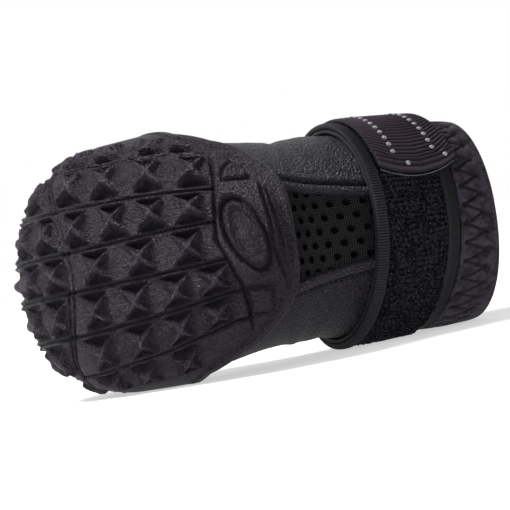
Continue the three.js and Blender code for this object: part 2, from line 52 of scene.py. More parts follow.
# Sizes of the boot in millimetres
LAST_LENGTH = 84.0
BALL_WIDTH = 59.0
INSTEP_HEIGHT = 36.5
SHAFT_RISE = 53.0
TOE_REACH = 33.5
TOE_SQUARENESS = 2.15
WALL = 1.8
VAMP_STEP = 0.4
SOLE_OUT = 2.6

# Stations run from 0 at the ball to the collar, and below 0 round the toe to its top
COLLAR = 8
COLLAR_SCALE = 17.3
TOE_TOP = -6.0
RIM_SAMPLES = 721

# Lean of the boot as it lies, and where the origin of the shoe frame comes to lie, in millimetres
LEAN_SIN, LEAN_COS = 0.088863, 0.996044
LYING_X, LYING_Y, LYING_Z = 8.68716, -13.6096, 33.11828

# Strap: station of its middle line, how far it drops at the front, and millimetres in a station
STRAP_MIDDLE = 6.645
STRAP_DROP = 5.0
STRAP_LEVEL = 0.3
STRAP_SKEW = 2.0
STRAP_SCALE = 16.9

# Edges of the strap's layers, as distances up the shaft from the strap's middle line
BACKING = (-12.5, 12.5)
LOOPS = (-9.05, 8.1)
BINDING = (-12.5, -9.2)
TAB = (-8.9, 14.0)
TAB_LENGTH = 86.0
TAB_START = math.radians(189)
TAB_MIDDLE = 2.55
TAB_HALF = 11.45
CUFF_START = 12.8
CUFF_DEPTH = 11.5

# Back window: stations of its ends, its width at each, and the places of the mesh's holes
WINDOW_LOW = 4.05
WINDOW_HIGH = 6.15
WINDOW_HEEL = 24.0
WINDOW_STRAP = 14.5
MESH_PITCH = 4.1
MESH_ROW = 0.866 * MESH_PITCH

# Grids: columns of the upper and of its toe, columns from the middle of an opening to its side,
# rows of the opening under the foot, and the gap in metres that is closed between two grids
UPPER_COLUMNS = 180
TOE_COLUMNS = 90
WINDOW_COLUMNS = 14
FOOT_COLUMNS = 26
FOOT_ROWS = 43
FOOT_TOE_ROWS = 12
GRID_GAP = 5e-6

# Sections of the last from the ball to the collar, each: back x, back z as shares of the instep and
# of the shaft, front x, front z as a share of the shaft, half width, share of the depth where it is
# widest, squareness of the back and of the front half
SECTIONS = np.array([
    (0.143, 0.077, 0, 0.143, 0, 0.5, 0.4, 2.6, 2.2),
    (-0.036, 0.077, 0, 0.083, 0.028, 0.502, 0.41, 2.6, 2.2),
    (-0.202, 0.093, 0, 0.024, 0.072, 0.482, 0.43, 2.5, 2.2),
    (-0.345, 0.178, 0, -0.036, 0.123, 0.451, 0.46, 2.4, 2.1),
    (-0.435, 0.3, 0.039, -0.071, 0.189, 0.437, 0.49, 2.2, 2.1),
    (-0.494, 0.4, 0.14, -0.101, 0.264, 0.437, 0.5, 2.1, 2.1),
    (-0.59, 0.6, 0.285, -0.161, 0.462, 0.441, 0.5, 2.1, 2.1),
    (-0.69, 0.8, 0.421, -0.263, 0.728, 0.437, 0.5, 2.1, 2.1),
    (-0.792, 1, 0.535, -0.367, 0.978, 0.427, 0.5, 2.1, 2.1),
])
COLUMNS = np.stack([
    SECTIONS[:, 0] * LAST_LENGTH,
    SECTIONS[:, 1] * INSTEP_HEIGHT + SECTIONS[:, 2] * SHAFT_RISE,
    SECTIONS[:, 3] * LAST_LENGTH,
    INSTEP_HEIGHT + SECTIONS[:, 4] * SHAFT_RISE,
    SECTIONS[:, 5] * BALL_WIDTH,
    SECTIONS[:, 6], SECTIONS[:, 7], SECTIONS[:, 8],
], axis=1)

# Top line of the cup sole seen from the side, as shares of length and height
RIM_ALONG = np.array([-0.62, -0.44, -0.37, -0.25, -0.12, -0.02, 0.08, 0.2, 0.36, 0.7])
RIM_UP = np.array([0.38, 0.385, 0.335, 0.295, 0.315, 0.42, 0.54, 0.61, 0.665, 0.74])

# Turns in degrees of the lines between the tread's lanes, at the toe and at the heel groove
LANE_LINES = [
    (75, 68), (56, 51), (31, 28), (9.6, 11.7), (-8.7, -6.9), (-30, -23), (-55, -39), (-75, -62),
]
LINE_FRONT = -0.5
LINE_BACK = 2.6

# Stations of the cross lugs behind the toe groove, lane by lane
LUG_STATIONS = [
    (-0.6, 0.3, 1.3, 1.92),
    (-0.45, 0.3, 1.2, 2.14),
    (-0.3, 0.44, 1.21, 2.02),
    (0.0, 0.89, 1.87),
    (-0.13, 0.67, 1.5, 2.3),
    (-0.25, 0.6, 1.44, 2.25),
    (-0.45, 0.45, 1.4),
]
TOE_LUG_PITCH = 10.5

# Groove in front of the heel panel, and the two curved grooves behind the badge:
# stations, turns in degrees, and depth as a share of the groove depth
HEEL_GROOVE_TURNS = np.array([-60, -37, -21, -10, 3, 32, 60])
HEEL_GROOVE_STATIONS = np.array([2.95, 2.91, 2.84, 2.66, 2.45, 2.56, 2.56])
HEEL_CURVES = (
    ((3.92, 3.69, 3.69, 3.58), (-24, -7, 8, 30), 0.7),
    ((3.98, 3.9, 3.85, 3.7), (-20, -3, 8, 28), 0.55),
)

# Marks of the heel panel: station and turn in degrees of the middle, and half sizes in millimetres
BADGE = (3.1, 3.5, 9.2, 4.7)
BADGE_TILT = math.radians(22)
HALF_ROUND = (3.04, 32.5, 5.4, 3.7)
SQUARE = (3.22, -31, 3.5)

# Millimetres in one station, in one degree and in one radian of turn at places of the last
TOE_STATION = 14.0
BADGE_STATION = 11.5
HEEL_STATION = 12.0
HEEL_DEGREE = 0.47
SHAFT_STATION = 13.5
SHAFT_DEGREE = 0.46
WINDOW_STATION = 14.8
WINDOW_RADIAN = 27.0


def column_values(station):
    """Section values at an array of stations, smooth between rows and straight past the collar."""
    base = np.clip(np.floor(station), 0, COLLAR - 1).astype(int)
    f = (station - base)[..., None]
    a, b = COLUMNS[base], COLUMNS[base + 1]
    first, last = (base == 0)[..., None], (base == COLLAR - 1)[..., None]
    before = np.where(first, 2 * a - b, COLUMNS[np.maximum(base - 1, 0)])
    after = np.where(last, 2 * b - a, COLUMNS[np.minimum(base + 2, COLLAR)])
    start, end = (b - before) / 2, (after - a) / 2
    f2, f3 = f * f, f * f * f
    inside = (2 * f3 - 3 * f2 + 1) * a + (f3 - 2 * f2 + f) * start
    inside = inside + (3 * f2 - 2 * f3) * b + (f3 - f2) * end
    return np.where(f > 1, b + (f - 1) * end, inside)


def depth_share(across, squareness):
    rest = np.maximum(0, 1 - np.abs(across) ** squareness)
    return rest ** (1 / squareness)


def skin(station, turn, offset):
    """Points of the last's surface in the shoe frame; below station 0 they go round the toe."""
    station, turn, offset = np.broadcast_arrays(
        np.asarray(station, float), np.asarray(turn, float), np.asarray(offset, float))
    s = column_values(np.maximum(station, 0))
    back_x, back_z, front_x, front_z, half, widest, under, over = np.moveaxis(s, -1, 0)
    across = np.sin(turn)
    dx, dz = front_x - back_x, front_z - back_z
    length = np.hypot(dx, dz)
    low = np.cos(turn) > 0
    reach = np.where(
        low,
        -(length * widest + offset) * depth_share(across, under),
        (length * (1 - widest) + offset) * depth_share(across, over))
    shaft = np.stack([
        back_x + dx * widest + dx / length * reach,
        (half + offset) * across,
        back_z + dz * widest + dz / length * reach,
    ], axis=-1)
    lift = np.maximum(0, -station) * math.radians(30)
    height = front_z - back_z
    blend = under + (over - under) * lift / math.pi
    square = blend + (TOE_SQUARENESS - (under + over) / 2) * np.sin(lift) ** 2
    depth = depth_share(across, square)
    half_height = np.where(lift < math.pi / 2, height * widest, height * (1 - widest)) + offset
    toe = np.stack([
        back_x + (TOE_REACH + offset) * np.sin(lift) * depth,
        (half + offset) * across,
        back_z + height * widest - half_height * np.cos(lift) * depth,
    ], axis=-1)
    return np.where((station >= 0)[..., None], shaft, toe)


def lie(points):
    """Points of the shoe frame moved to where the boot lies, in metres, kept above the floor."""
    x, y, z = np.moveaxis(points, -1, 0)
    lying = np.stack([
        LYING_X - x,
        LEAN_SIN * y + LEAN_COS * z + LYING_Y,
        np.maximum(0, LEAN_COS * y - LEAN_SIN * z + LYING_Z),
    ], axis=-1)
    return lying * MM


def rim_height(x):
    return np.interp(x / LAST_LENGTH, RIM_ALONG, RIM_UP) * INSTEP_HEIGHT


def smooth(low, high, value):
    share = np.clip((value - low) / (high - low), 0, 1)
    return share * share * (3 - 2 * share)


def bump(distance, width):
    return np.exp(-(distance / width) ** 2)


def furrow(distance, depth, width, lip, beside, spread):
    """Groove along a line, and a low lip beside it."""
    return lip * bump(distance - beside, spread) - depth * bump(distance, width)


def strap_station(turn, distance):
    away = 1 - np.cos(turn)
    drop = STRAP_DROP * (away - STRAP_LEVEL * away ** 2)
    drift = distance - drop + STRAP_SKEW * np.sin(turn)
    return STRAP_MIDDLE + drift / STRAP_SCALE


def surface_scale(station, turn, offset=0.0):
    """Millimetres in one station and in one radian of turn."""
    step = 0.02
    here = skin(station, turn, offset)
    along = np.linalg.norm(skin(station + step, turn, offset) - here, axis=-1) / step
    around = np.linalg.norm(skin(station, turn + step, offset) - here, axis=-1) / step
    return along, around


def grid_bmesh(points, marks=None, chart=None):
    """Grid of quads on an array of points, with float marks and a map where they are given."""
    rows, columns = points.shape[:2]
    bm = bmesh.new()
    bmesh.ops.create_grid(bm, x_segments=columns - 1, y_segments=rows - 1, size=1.0)
    for vert, place in zip(bm.verts, lie(points).reshape(-1, 3).tolist()):
        vert.co = place
    for name, values in (marks or {}).items():
        layer = bm.verts.layers.float.new(name)
        for vert, value in zip(bm.verts, values.reshape(-1).tolist()):
            vert[layer] = value
    if chart is not None:
        layer = bm.loops.layers.uv.new("surface")
        flat = chart.reshape(-1, 2).tolist()
        for face in bm.faces:
            for loop in face.loops:
                loop[layer].uv = flat[loop.vert.index]
    return bm


def face_out(bm, middle=None):
    """Turn all faces so that they point away from the middle of the shape or a given place."""
    bm.normal_update()
    total = 0.0
    middle = middle or sum((v.co for v in bm.verts), Vector()) / len(bm.verts)
    for face in bm.faces:
        total += face.calc_area() * face.normal.dot(face.calc_center_median() - middle)
    if total < 0:
        bmesh.ops.reverse_faces(bm, faces=bm.faces)


def weld(bm, distance=1e-6):
    bmesh.ops.remove_doubles(bm, verts=bm.verts, dist=distance)
    loose = [v for v in bm.verts if not v.link_faces]
    bmesh.ops.delete(bm, geom=loose, context="VERTS")


def join(bm, other):
    """Add a second bmesh to the first one."""
    scratch = bpy.data.meshes.new("scratch")
    other.to_mesh(scratch)
    other.free()
    bm.from_mesh(scratch)
    bpy.data.meshes.remove(scratch)


def finish_piece(name, bm, materials, nodes):
    """Put a bmesh into the scene as a piece with its materials and its place in the frame."""
    mesh = bpy.data.meshes.new(name)
    bm.to_mesh(mesh)
    bm.free()
    mesh.shade_smooth()
    for material in materials:
        mesh.materials.append(material)
    piece = bpy.data.objects.new(name, mesh)
    bpy.context.scene.collection.objects.link(piece)
    if nodes:
        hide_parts(*nodes)
    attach(piece, "root")
    return piece


class Value:
    """Number of a shader graph, with the sums that the materials use."""

    def __init__(self, graph, socket):
        self.graph = graph
        self.socket = socket

    def math(self, operation, *others):
        links = {i: other for i, other in enumerate((self, *others))}
        return self.graph.node("ShaderNodeMath", {"operation": operation}, links)

    def __add__(self, other):
        return self.math("ADD", other)

    def __sub__(self, other):
        return self.math("SUBTRACT", other)

    def __mul__(self, other):
        return self.math("MULTIPLY", other)

    def __rsub__(self, other):
        return self.graph.node("ShaderNodeMath", {"operation": "SUBTRACT"}, {0: other, 1: self})

    __radd__ = __add__
    __rmul__ = __mul__

    def __abs__(self):
        return self.math("ABSOLUTE")

    def fraction(self):
        return self.math("FRACT")

    def larger(self, other):
        return self.math("MAXIMUM", other)

    def range(self, low, high, start=0.0, end=1.0):
        inputs = {0: self, 1: low, 2: high, 3: start, 4: end}
        settings = {"interpolation_type": "SMOOTHSTEP", "clamp": True}
        return self.graph.node("ShaderNodeMapRange", settings, inputs)


class Graph:
    """Node tree of one material."""

    def __init__(self, name):
        self.material = bpy.data.materials.new(name)
        self.material.use_nodes = True
        self.tree = self.material.node_tree
        self.shader = self.tree.nodes["Principled BSDF"]

    def node(self, kind, settings=None, inputs=None, output=0):
        made = self.tree.nodes.new(kind)
        for key, value in (settings or {}).items():
            setattr(made, key, value)
        for key, value in (inputs or {}).items():
            self.feed(made.inputs[key], value)
        return Value(self, made.outputs[output])

    def feed(self, socket, value):
        if isinstance(value, Value):
            self.tree.links.new(value.socket, socket)
        elif isinstance(value, (tuple, list)) and len(value) == 3 and socket.type == "RGBA":
            socket.default_value = (*value, 1)
        else:
            socket.default_value = value

    def place(self):
        return self.node("ShaderNodeTexCoord", output="Object")

    def chart(self):
        return self.node("ShaderNodeUVMap", {"uv_map": "surface"})

    def mark(self, name):
        return self.node("ShaderNodeAttribute", {"attribute_name": name}, output="Fac")

    def noise(self, vector, scale, detail=3.0, roughness=0.55):
        inputs = {"Vector": vector, "Scale": scale, "Detail": detail, "Roughness": roughness}
        return self.node("ShaderNodeTexNoise", None, inputs)

    def cells(self, vector, scale, feature="DISTANCE_TO_EDGE"):
        settings = {"feature": feature}
        return self.node("ShaderNodeTexVoronoi", settings, {"Vector": vector, "Scale": scale})

    def blend(self, factor, first, second):
        inputs = {"Factor": factor, 6: first, 7: second}
        return self.node("ShaderNodeMix", {"data_type": "RGBA"}, inputs, 2)

    def relief(self, height, strength, distance):
        inputs = {"Height": height, "Strength": strength, "Distance": distance}
        return self.node("ShaderNodeBump", None, inputs)

    def finish(self, colour=None, roughness=None, normal=None, **constants):
        if colour is not None:
            self.feed(self.shader.inputs["Base Color"], colour)
        if roughness is not None:
            self.feed(self.shader.inputs["Roughness"], roughness)
        if normal is not None:
            self.feed(self.shader.inputs["Normal"], normal)
        for key, value in constants.items():
            self.shader.inputs[key.replace("_", " ")].default_value = value
        return self.material


def darker(colour, share):
    return tuple(channel * share for channel in colour)


def rubber_material(settings):
    """Moulded rubber: wrinkled grain and thin grooves between the lanes, with painted highlights on
    the crests and painted shade in the grooves and hollows.
    """
    g = Graph("moulded_rubber")
    place = g.place()
    wrinkles = g.noise(place, 1500.0, 4.0, 0.65)
    folds = g.noise(place, 420.0, 3.0, 0.6)
    cracks = g.cells(place, 1500.0)
    lane = g.mark("lane")
    aside = abs((lane + 0.5).fraction() - 0.5) * 11.0
    limits = lane.range(0.4, 0.6) * lane.range(6.6, 6.4)
    panel, front, oval = g.mark("panel"), g.mark("front"), g.mark("oval")
    groove = aside.range(0.42, 0.14) * limits * panel.range(0.3, -0.3)
    groove = groove.larger(abs(panel).range(0.5, 0.18))
    groove = groove.larger(abs(abs(front) - 0.7).range(0.42, 0.14))
    groove = groove.larger(abs(oval).range(0.55, 0.2))
    hollow, crest = g.mark("hollow"), g.mark("crest")
    grain = wrinkles * 0.6 + folds * 0.8 + cracks.range(0.0, 0.2) * 0.2
    normal = g.relief(grain - groove * 0.25, 1.0, 0.0023)
    base = tuple(settings.rubber)
    # Painted highlight: the crests of the cross lugs are lightened up to 3.3 times, in patches that
    # follow the folds.
    crest_highlight = g.blend(crest.range(0.5, 0.9) * folds.range(0.3, 0.55), base, darker(base, 3.3))
    # Random wrinkled grain and cracks darken the rubber over the painted highlight.
    grain_and_highlight = g.blend(wrinkles.range(0.43, 0.55), darker(base, 0.25), crest_highlight)
    grain_and_highlight = g.blend(cracks.range(0.06, 0.0) * 0.7, grain_and_highlight, darker(base, 0.3))
    # Painted shade: the grooves and the hollows beside the crosses are darkened to 0.12 of the
    # rubber's colour.
    deep = g.blend(groove.larger(hollow.range(0.15, 0.9) * 0.85), grain_and_highlight, darker(base, 0.12))
    rough = wrinkles * 0.3 + 0.3
    return g.finish(deep, rough, normal, Specular_IOR_Level=0.3)


def leather_material(settings, lift=1.0):
    """Dark imitation leather with a pebbled, finely wrinkled grain; lift lightens it, which the welts
    use as a painted highlight.
    """
    g = Graph("wrinkled_leather")
    place = g.place()
    pebbles = g.cells(place, 950.0)
    lines = g.noise(place, 1500.0, 4.0, 0.7)
    folds = g.noise(place, 300.0, 3.0, 0.55)
    height = pebbles.range(0.0, 0.3) * 0.45 + lines * 0.7 + folds * 0.8
    normal = g.relief(height, 1.0, 0.0011)
    base = darker(settings.leather, lift)
    shade = g.blend(pebbles.range(0.02, 0.2), darker(base, 0.35), darker(base, 1.5))
    colour = g.blend(lines.range(0.42, 0.58), darker(base, 0.3), shade)
    rough = lines * 0.3 + 0.35
    return g.finish(colour, rough, normal, Specular_IOR_Level=0.35)


def knit_material(name, base, pitch, depth=0.0002):
    """Fine knitted cloth with a soft grid."""
    g = Graph(name)
    place = g.place()
    grid = g.cells(place, 1.0 / pitch, "F1")
    fuzz = g.noise(place, 2200.0, 2.0)
    normal = g.relief(grid * -1.0 + fuzz * 0.5, 0.6, depth)
    colour = g.blend(grid.range(0.1, 0.7), darker(base, 1.25), darker(base, 0.5))
    return g.finish(colour, 0.85, normal, Specular_IOR_Level=0.25)


def mesh_material(settings):
    """Black air mesh with painted shade in its holes, which are nearly black, and a fine knitted grid
    between them.
    """
    g = Graph("air_mesh")
    base = tuple(settings.mesh)
    chart = g.chart()
    knit = {"Vector": chart, "Scale": 0.55, "Distortion": 0.6, "Detail": 1.0}
    rows, columns = [
        g.node("ShaderNodeTexWave", {"wave_type": "BANDS", "bands_direction": axis}, knit)
        for axis in ("X", "Y")]
    grid = rows * columns
    solid = g.mark("solid")
    normal = g.relief(grid, 0.7, 0.00025)
    cloth = g.blend(grid.range(0.1, 0.8), darker(base, 0.5), darker(base, 4.2))
    # Painted shade: the dents of the holes are painted nearly black, for the dark inside of the boot.
    colour = g.blend(solid, (0.0008, 0.0008, 0.0009), cloth)
    return g.finish(colour, 0.85, normal, Specular_IOR_Level=0.08)


def ribbed_material(name, base, creased=0.0):
    """Ribbed cloth with painted shade between its ribs; the mark rib is 1 on their tops. It may be
    creased, with painted light on the raised folds and painted shade in the low ones.
    """
    g = Graph(name)
    rib = g.mark("rib")
    fuzz = g.noise(g.place(), 2200.0, 2.0)
    folds = g.noise(g.place(), 380.0, 3.0, 0.6)
    # Where creased, painted light on the raised folds and painted shade in the low ones.
    top = g.blend(folds.range(0.35, 0.6), darker(base, 1.5 - creased), darker(base, 1.5 + creased / 2))
    # Painted shade: the cloth between the ribs, where the mark rib is low, is darkened to a quarter.
    colour = g.blend(rib.range(0.15, 0.75), darker(base, 0.25), top)
    normal = g.relief(fuzz * 0.08 + folds * creased, 0.8, 0.0014)
    return g.finish(colour, 0.75, normal, Specular_IOR_Level=0.25)


def pile_material(settings):
    """Loop pile: dark, matt and noisy, its loops in faint rows; the mark row is 1 on them."""
    g = Graph("loop_pile")
    base = tuple(settings.pile)
    place = g.place()
    tufts = g.cells(place, 900.0, "F1")
    fuzz = g.noise(place, 1500.0, 4.0, 0.7)
    rows = g.mark("row") * g.noise(place, 260.0, 2.0).range(0.35, 0.6)
    normal = g.relief(fuzz - tufts + rows * 0.5, 0.9, 0.0004)
    light = (fuzz + rows * 0.12).range(0.45, 0.66)
    colour = g.blend(light, darker(base, 0.25), darker(base, 3.4))
    return g.finish(colour, 0.95, normal, Specular_IOR_Level=0.06)


def plain_material(name, colour, roughness):
    g = Graph(name)
    place = g.place()
    fuzz = g.noise(place, 2500.0, 2.0)
    shade = g.blend(fuzz.range(0.3, 0.7), darker(colour, 0.8), darker(colour, 1.15))
    return g.finish(shade, roughness, g.relief(fuzz, 0.3, 0.0001), Specular_IOR_Level=0.25)


def colour_property(name, description, default):
    return FloatVectorProperty(
        name=name, description=description, default=default, subtype="COLOR", size=3, min=0, max=1)


def length_property(name, description, default):
    return FloatProperty(
        name=name, description=description, default=default * MM, unit="LENGTH", precision=5)


class SoleSettings(bpy.types.PropertyGroup):
    tread: length_property("Tread height", "Height of the cross lugs' ridges", 1.6)
    groove: length_property("Groove depth", "Depth of the grooves between the lanes", 1.15)
    rubber: colour_property("Rubber", "Colour of the rubber", (0.0325, 0.0212, 0.037))


class UpperSettings(bpy.types.PropertyGroup):
    crease: length_property("Crease depth", "Depth of the soft creases of the leather", 0.55)
    hole: length_property("Mesh hole", "Diameter of a hole in the mesh window", 1.75)
    leather: colour_property("Leather", "Colour of the leather", (0.0222, 0.0165, 0.0268))
    mesh: colour_property("Mesh", "Colour of the air mesh", (0.0095, 0.0092, 0.0105))


class StrapSettings(bpy.types.PropertyGroup):
    rib: length_property("Rib pitch", "Distance between the ribs of the tab", 1.35)
    pile: colour_property("Pile", "Colour of the loop pile", (0.006, 0.0058, 0.008))
    tab: colour_property("Tab", "Colour of the ribbed tab", (0.029, 0.0198, 0.0290))
    cuff: colour_property("Cuff", "Colour of the cuff", (0.0225, 0.0172, 0.0255))
    thread: colour_property("Thread", "Colour of the light dots", (0.27, 0.26, 0.29))


class StageSettings(bpy.types.PropertyGroup):
    key_power: FloatProperty(
        name="Key light", description="Power of the large light over the boot", default=1.7)


def first_over_rim(values, points):
    """Value at which each row of points first gets over the rim line, and whether it does."""
    gap = points[..., 2] - rim_height(points[..., 0])
    first = np.argmax(gap > 0, axis=1)
    rows = np.arange(len(gap))
    low, high = gap[rows, first - 1], gap[rows, first]
    share = -low / (high - low)
    found = values[first - 1] + share * (values[first] - values[first - 1])
    return found, (gap > 0).any(axis=1)


def rim_turn(station):
    """Turn at which the sole's outer face reaches the rim line, for an array of stations."""
    turns = np.linspace(0.35, math.radians(150), RIM_SAMPLES)
    return first_over_rim(turns, skin(station[:, None], turns[None, :], SOLE_OUT))[0]


def rim_lift(turn):
    """Station below 0 at which the toe's outer face reaches the rim line, for an array of turns."""
    stations = -np.linspace(0.5, -TOE_TOP, RIM_SAMPLES)
    found, reached = first_over_rim(stations, skin(stations[None, :], turn[:, None], SOLE_OUT))
    return np.where(reached, found, TOE_TOP)


def toe_groove(degrees):
    return LINE_FRONT - 0.42 * (degrees / 40) ** 2


def heel_groove(degrees):
    return np.interp(degrees, HEEL_GROOVE_TURNS, HEEL_GROOVE_STATIONS)


def line_turn(line, station):
    share = np.clip((station - LINE_FRONT) / (LINE_BACK - LINE_FRONT), 0, 1)
    return line[0] + (line[1] - line[0]) * share


def lane_marks(left, right, centres):
    """Arc length along a lane's middle, and the arc lengths of its lugs from toe to heel."""
    ruler = np.linspace(TOE_TOP, 4.4, 521)
    turn = np.radians((line_turn(left, ruler) + line_turn(right, ruler)) / 2)
    line = skin(ruler, turn, SOLE_OUT)
    steps = np.linalg.norm(np.diff(line, axis=0), axis=1)
    length = np.concatenate([[0], np.cumsum(steps)])
    start = np.interp(toe_groove(np.degrees(turn[0])), ruler, length)
    toe = [start - TOE_LUG_PITCH * (k + 0.52) for k in range(7)]
    return ruler, length, np.array(sorted([*toe, *np.interp(centres, ruler, length)]))


def cross_relief(along, across, gap, half_pitch, half):
    """Cross with four tapering roof-shaped arms, hollows above and below it, and low pillows."""
    reach_x = np.minimum(4.15, half_pitch * 0.79)
    reach_y = half * 0.69
    length = np.hypot(reach_x, reach_y)
    x, y = np.abs(along), np.abs(across)
    bend = 0.15 * np.sin(np.clip((x / reach_x + y / reach_y) / 2, 0, 1) * math.pi)
    down = (x * reach_x + y * reach_y) / length
    off = np.abs((x * reach_y - y * reach_x) / length + bend)
    share = np.clip(down / length, 0, 1)
    width = 1.35 * (1 - share) ** 1.2 + 0.3
    star = (1 - 0.35 * share) * np.clip(1 - off / width, 0, 1) ** 0.8
    star = star * smooth(1.04, 0.9, down / length)
    inner = y / reach_y - x / reach_x
    hollow = smooth(-0.25, 0.15, inner) * smooth(0.0, 0.4, off - width * 0.75)
    hollow = hollow * smooth(1.0, 0.75, y / half) * smooth(1.25, 0.8, share)
    ring = np.hypot(gap / (half_pitch * 0.62), across / (half * 0.62))
    pillow = np.clip(1 - ring ** 2, 0, 1)
    return star, hollow, pillow


def tread_relief(station, turn, settings):
    """Height of the tread over the sole's outer face, and the marks that its material reads."""
    degrees = np.degrees(turn)
    _, around = surface_scale(station, turn, SOLE_OUT)
    height = np.zeros_like(station)
    hollows = np.zeros_like(station)
    crests = np.zeros_like(station)
    front = (station - toe_groove(degrees)) * TOE_STATION
    panel = (station - heel_groove(degrees)) * HEEL_STATION
    ridge = settings.tread / MM
    groove = settings.groove / MM
    behind = np.where(front > 0, smooth(0.8, 1.8, front), smooth(-0.8, -1.8, front))
    behind = behind * smooth(-0.2, -0.9, panel)
    for i, centres in enumerate(LUG_STATIONS):
        left, right = LANE_LINES[i], LANE_LINES[i + 1]
        high, low = line_turn(left, station), line_turn(right, station)
        inside = (degrees <= high) & (degrees > low) & (panel < 0)
        half = np.maximum(2, np.radians(high - low) / 2 * around - 0.35)
        across = np.radians(degrees - (high + low) / 2) * around
        ruler, length, marks = lane_marks(left, right, centres)
        here = np.interp(station, ruler, length)
        index = np.argmin(np.abs(here[..., None] - marks), axis=-1)
        along = here - marks[index]
        padded = np.concatenate([[marks[0] - 10], marks, [marks[-1] + 10]])
        before = (padded[index + 1] - padded[index]) / 2
        after = (padded[index + 2] - padded[index + 1]) / 2
        side = np.where(along > 0, after, before)
        star, hollow, pillow = cross_relief(along, across, side - np.abs(along), side, half)
        cell = np.maximum(star * ridge, pillow * 0.18 * ridge) - hollow * 0.95 * groove
        knobs = np.cos(across / half * 2 * math.pi) + 0.3 * np.cos(here * 2 * math.pi / 6.5)
        steep = smooth(-17, -23, front)
        cell = cell * (1 - 0.5 * steep) + 0.6 * ridge * np.clip(knobs, -0.6, 1) * steep
        height = np.where(inside, cell * behind, height)
        hollows = np.where(inside, hollow * behind, hollows)
        crests = np.where(inside, star * behind, crests)
    lines = np.array([line_turn(line, station) for line in LANE_LINES])
    below = np.sum(degrees[None] < lines, axis=0)
    low_line = np.clip(below, 1, len(LANE_LINES) - 1)
    upper = np.take_along_axis(lines, (low_line - 1)[None], axis=0)[0]
    lower = np.take_along_axis(lines, low_line[None], axis=0)[0]
    lane = low_line - 1 + np.clip((upper - degrees) / (upper - lower), -0.4, 1.4)
    for line in LANE_LINES[1:-1]:
        distance = np.radians(degrees - line_turn(line, station)) * around
        reach = smooth(0.2, -0.4, panel)
        height = height + furrow(distance, 0.6 * groove, 0.42, 0.22, -0.85, 0.35) * reach
    side = smooth(72, 60, np.abs(degrees))
    for place in (-0.7, 0.7):
        height = height - 0.5 * groove * bump(front - place, 0.4) * side
    height = height - 0.6 * groove * bump(panel, 0.45) * smooth(54, 46, np.abs(degrees))
    heel, oval = heel_relief(station, degrees, groove)
    marks = {
        "hollow": hollows, "crest": crests, "lane": lane, "front": front + 20 * (1 - side),
        "panel": panel + 20 * smooth(46, 54, np.abs(degrees)), "oval": oval,
    }
    return height + heel, marks


def heel_relief(station, degrees, groove):
    """Plain oval badge, a half-round and a square mark, and two curved grooves."""
    middle, turn, half_length, half_width = BADGE
    along = (station - middle) * BADGE_STATION
    around = (degrees - turn) * HEEL_DEGREE
    cos, sin = math.cos(BADGE_TILT), math.sin(BADGE_TILT)
    long = (around * cos - along * sin) / half_length
    short = (around * sin + along * cos) / half_width
    share = np.hypot(long, short)
    edge = (share - 1) * half_width / np.clip(np.hypot(long, short * 1.4), 0.7, 1.3)
    deep = 0.65 + 0.35 * smooth(-0.2, 0.8, np.clip(long - short, -1, 1) / 1.4)
    height = furrow(edge, deep * groove, 0.45, 0.35, -1.1, 0.45)
    height = height - 0.2 * smooth(-1.8, -2.6, edge)
    for stations, turns, reach in HEEL_CURVES:
        line = np.interp(degrees, turns, stations)
        fade = smooth(turns[0] - 2, turns[0] + 2, degrees)
        fade = fade * smooth(turns[-1] + 2, turns[-1] - 4, degrees)
        distance = (station - line) * BADGE_STATION
        height = height + furrow(distance, reach * groove, 0.42, 0.35, 0.8, 0.4) * fade
    middle, turn, half_length, half_width = HALF_ROUND
    around = (degrees - turn) * HEEL_DEGREE
    along = (station - middle) * HEEL_STATION
    edge = (np.hypot(along / half_width, around / half_length) - 1) * 3.9
    height = height + furrow(np.maximum(edge, -around), 0.6 * groove, 0.42, 0.3, -0.9, 0.4)
    middle, turn, half_width = SQUARE
    lean = degrees - turn + (station - middle) * 3.0
    along = (station - middle) * HEEL_STATION
    square = np.maximum(np.abs(along), np.abs(lean) * HEEL_DEGREE) - half_width
    height = height - 0.75 * groove * bump(square, 0.5) + 0.3 * smooth(-0.4, -1.0, square)
    return height, (share - 1) * 6.0


def sole_points(station, turn, settings):
    base = skin(station, turn, SOLE_OUT)
    below = rim_height(base[..., 0]) - base[..., 2]
    tread, marks = tread_relief(station, turn, settings)
    quiet = smooth(1.8, 4.5, below)
    lip = 0.5 * smooth(2.2, 1.5, below) * smooth(-0.3, 0.5, below)
    for name in ("hollow", "crest"):
        marks[name] = marks[name] * quiet
    marks["lane"] = np.where(quiet > 0.5, marks["lane"], np.round(marks["lane"] + 0.5) - 0.5)
    return skin(station, turn, SOLE_OUT + tread * quiet + lip), marks


def sole_face(pitch, place):
    """Face over the whole cup as two welded grids; place(station, turn) gives points and marks."""
    turn_count = 2 * round(50 / pitch)
    toe_turns = np.linspace(-math.pi / 2, math.pi / 2, turn_count + 1)
    step = toe_turns[1] - toe_turns[0]
    rows = round(54 / pitch)
    stations = np.linspace(0, 4.27, rows + 1)
    reach = rim_turn(stations)
    extra = math.ceil((reach[0] - math.pi / 2) / step)
    count = turn_count // 2 + extra
    spread = np.linspace(-1, 1, 2 * count + 1)
    turn = spread[None, :] * reach[:, None]
    first = np.concatenate([-reach[:1], toe_turns[0] - step * np.arange(extra - 1, 0, -1)])
    seam = np.concatenate([first, toe_turns, -first[::-1]])
    share = smooth(0, 1.2, stations)[:, None]
    turn = seam[None, :] * (reach / reach[0])[:, None] * (1 - share) + turn * share
    bm = grid_bmesh(*place(stations[:, None] + 0 * turn, turn))
    lifts = rim_lift(toe_turns)
    top = np.abs(toe_turns) > math.pi - reach[0] - 1e-9
    lifts = np.where(top, TOE_TOP, np.maximum(lifts, TOE_TOP))
    share = np.linspace(0, 1, round(66 / pitch) + 1)[:, None]
    join(bm, grid_bmesh(*place(lifts[None, :] * share, toe_turns[None, :] + 0 * share)))
    weld(bm, GRID_GAP)
    return bm


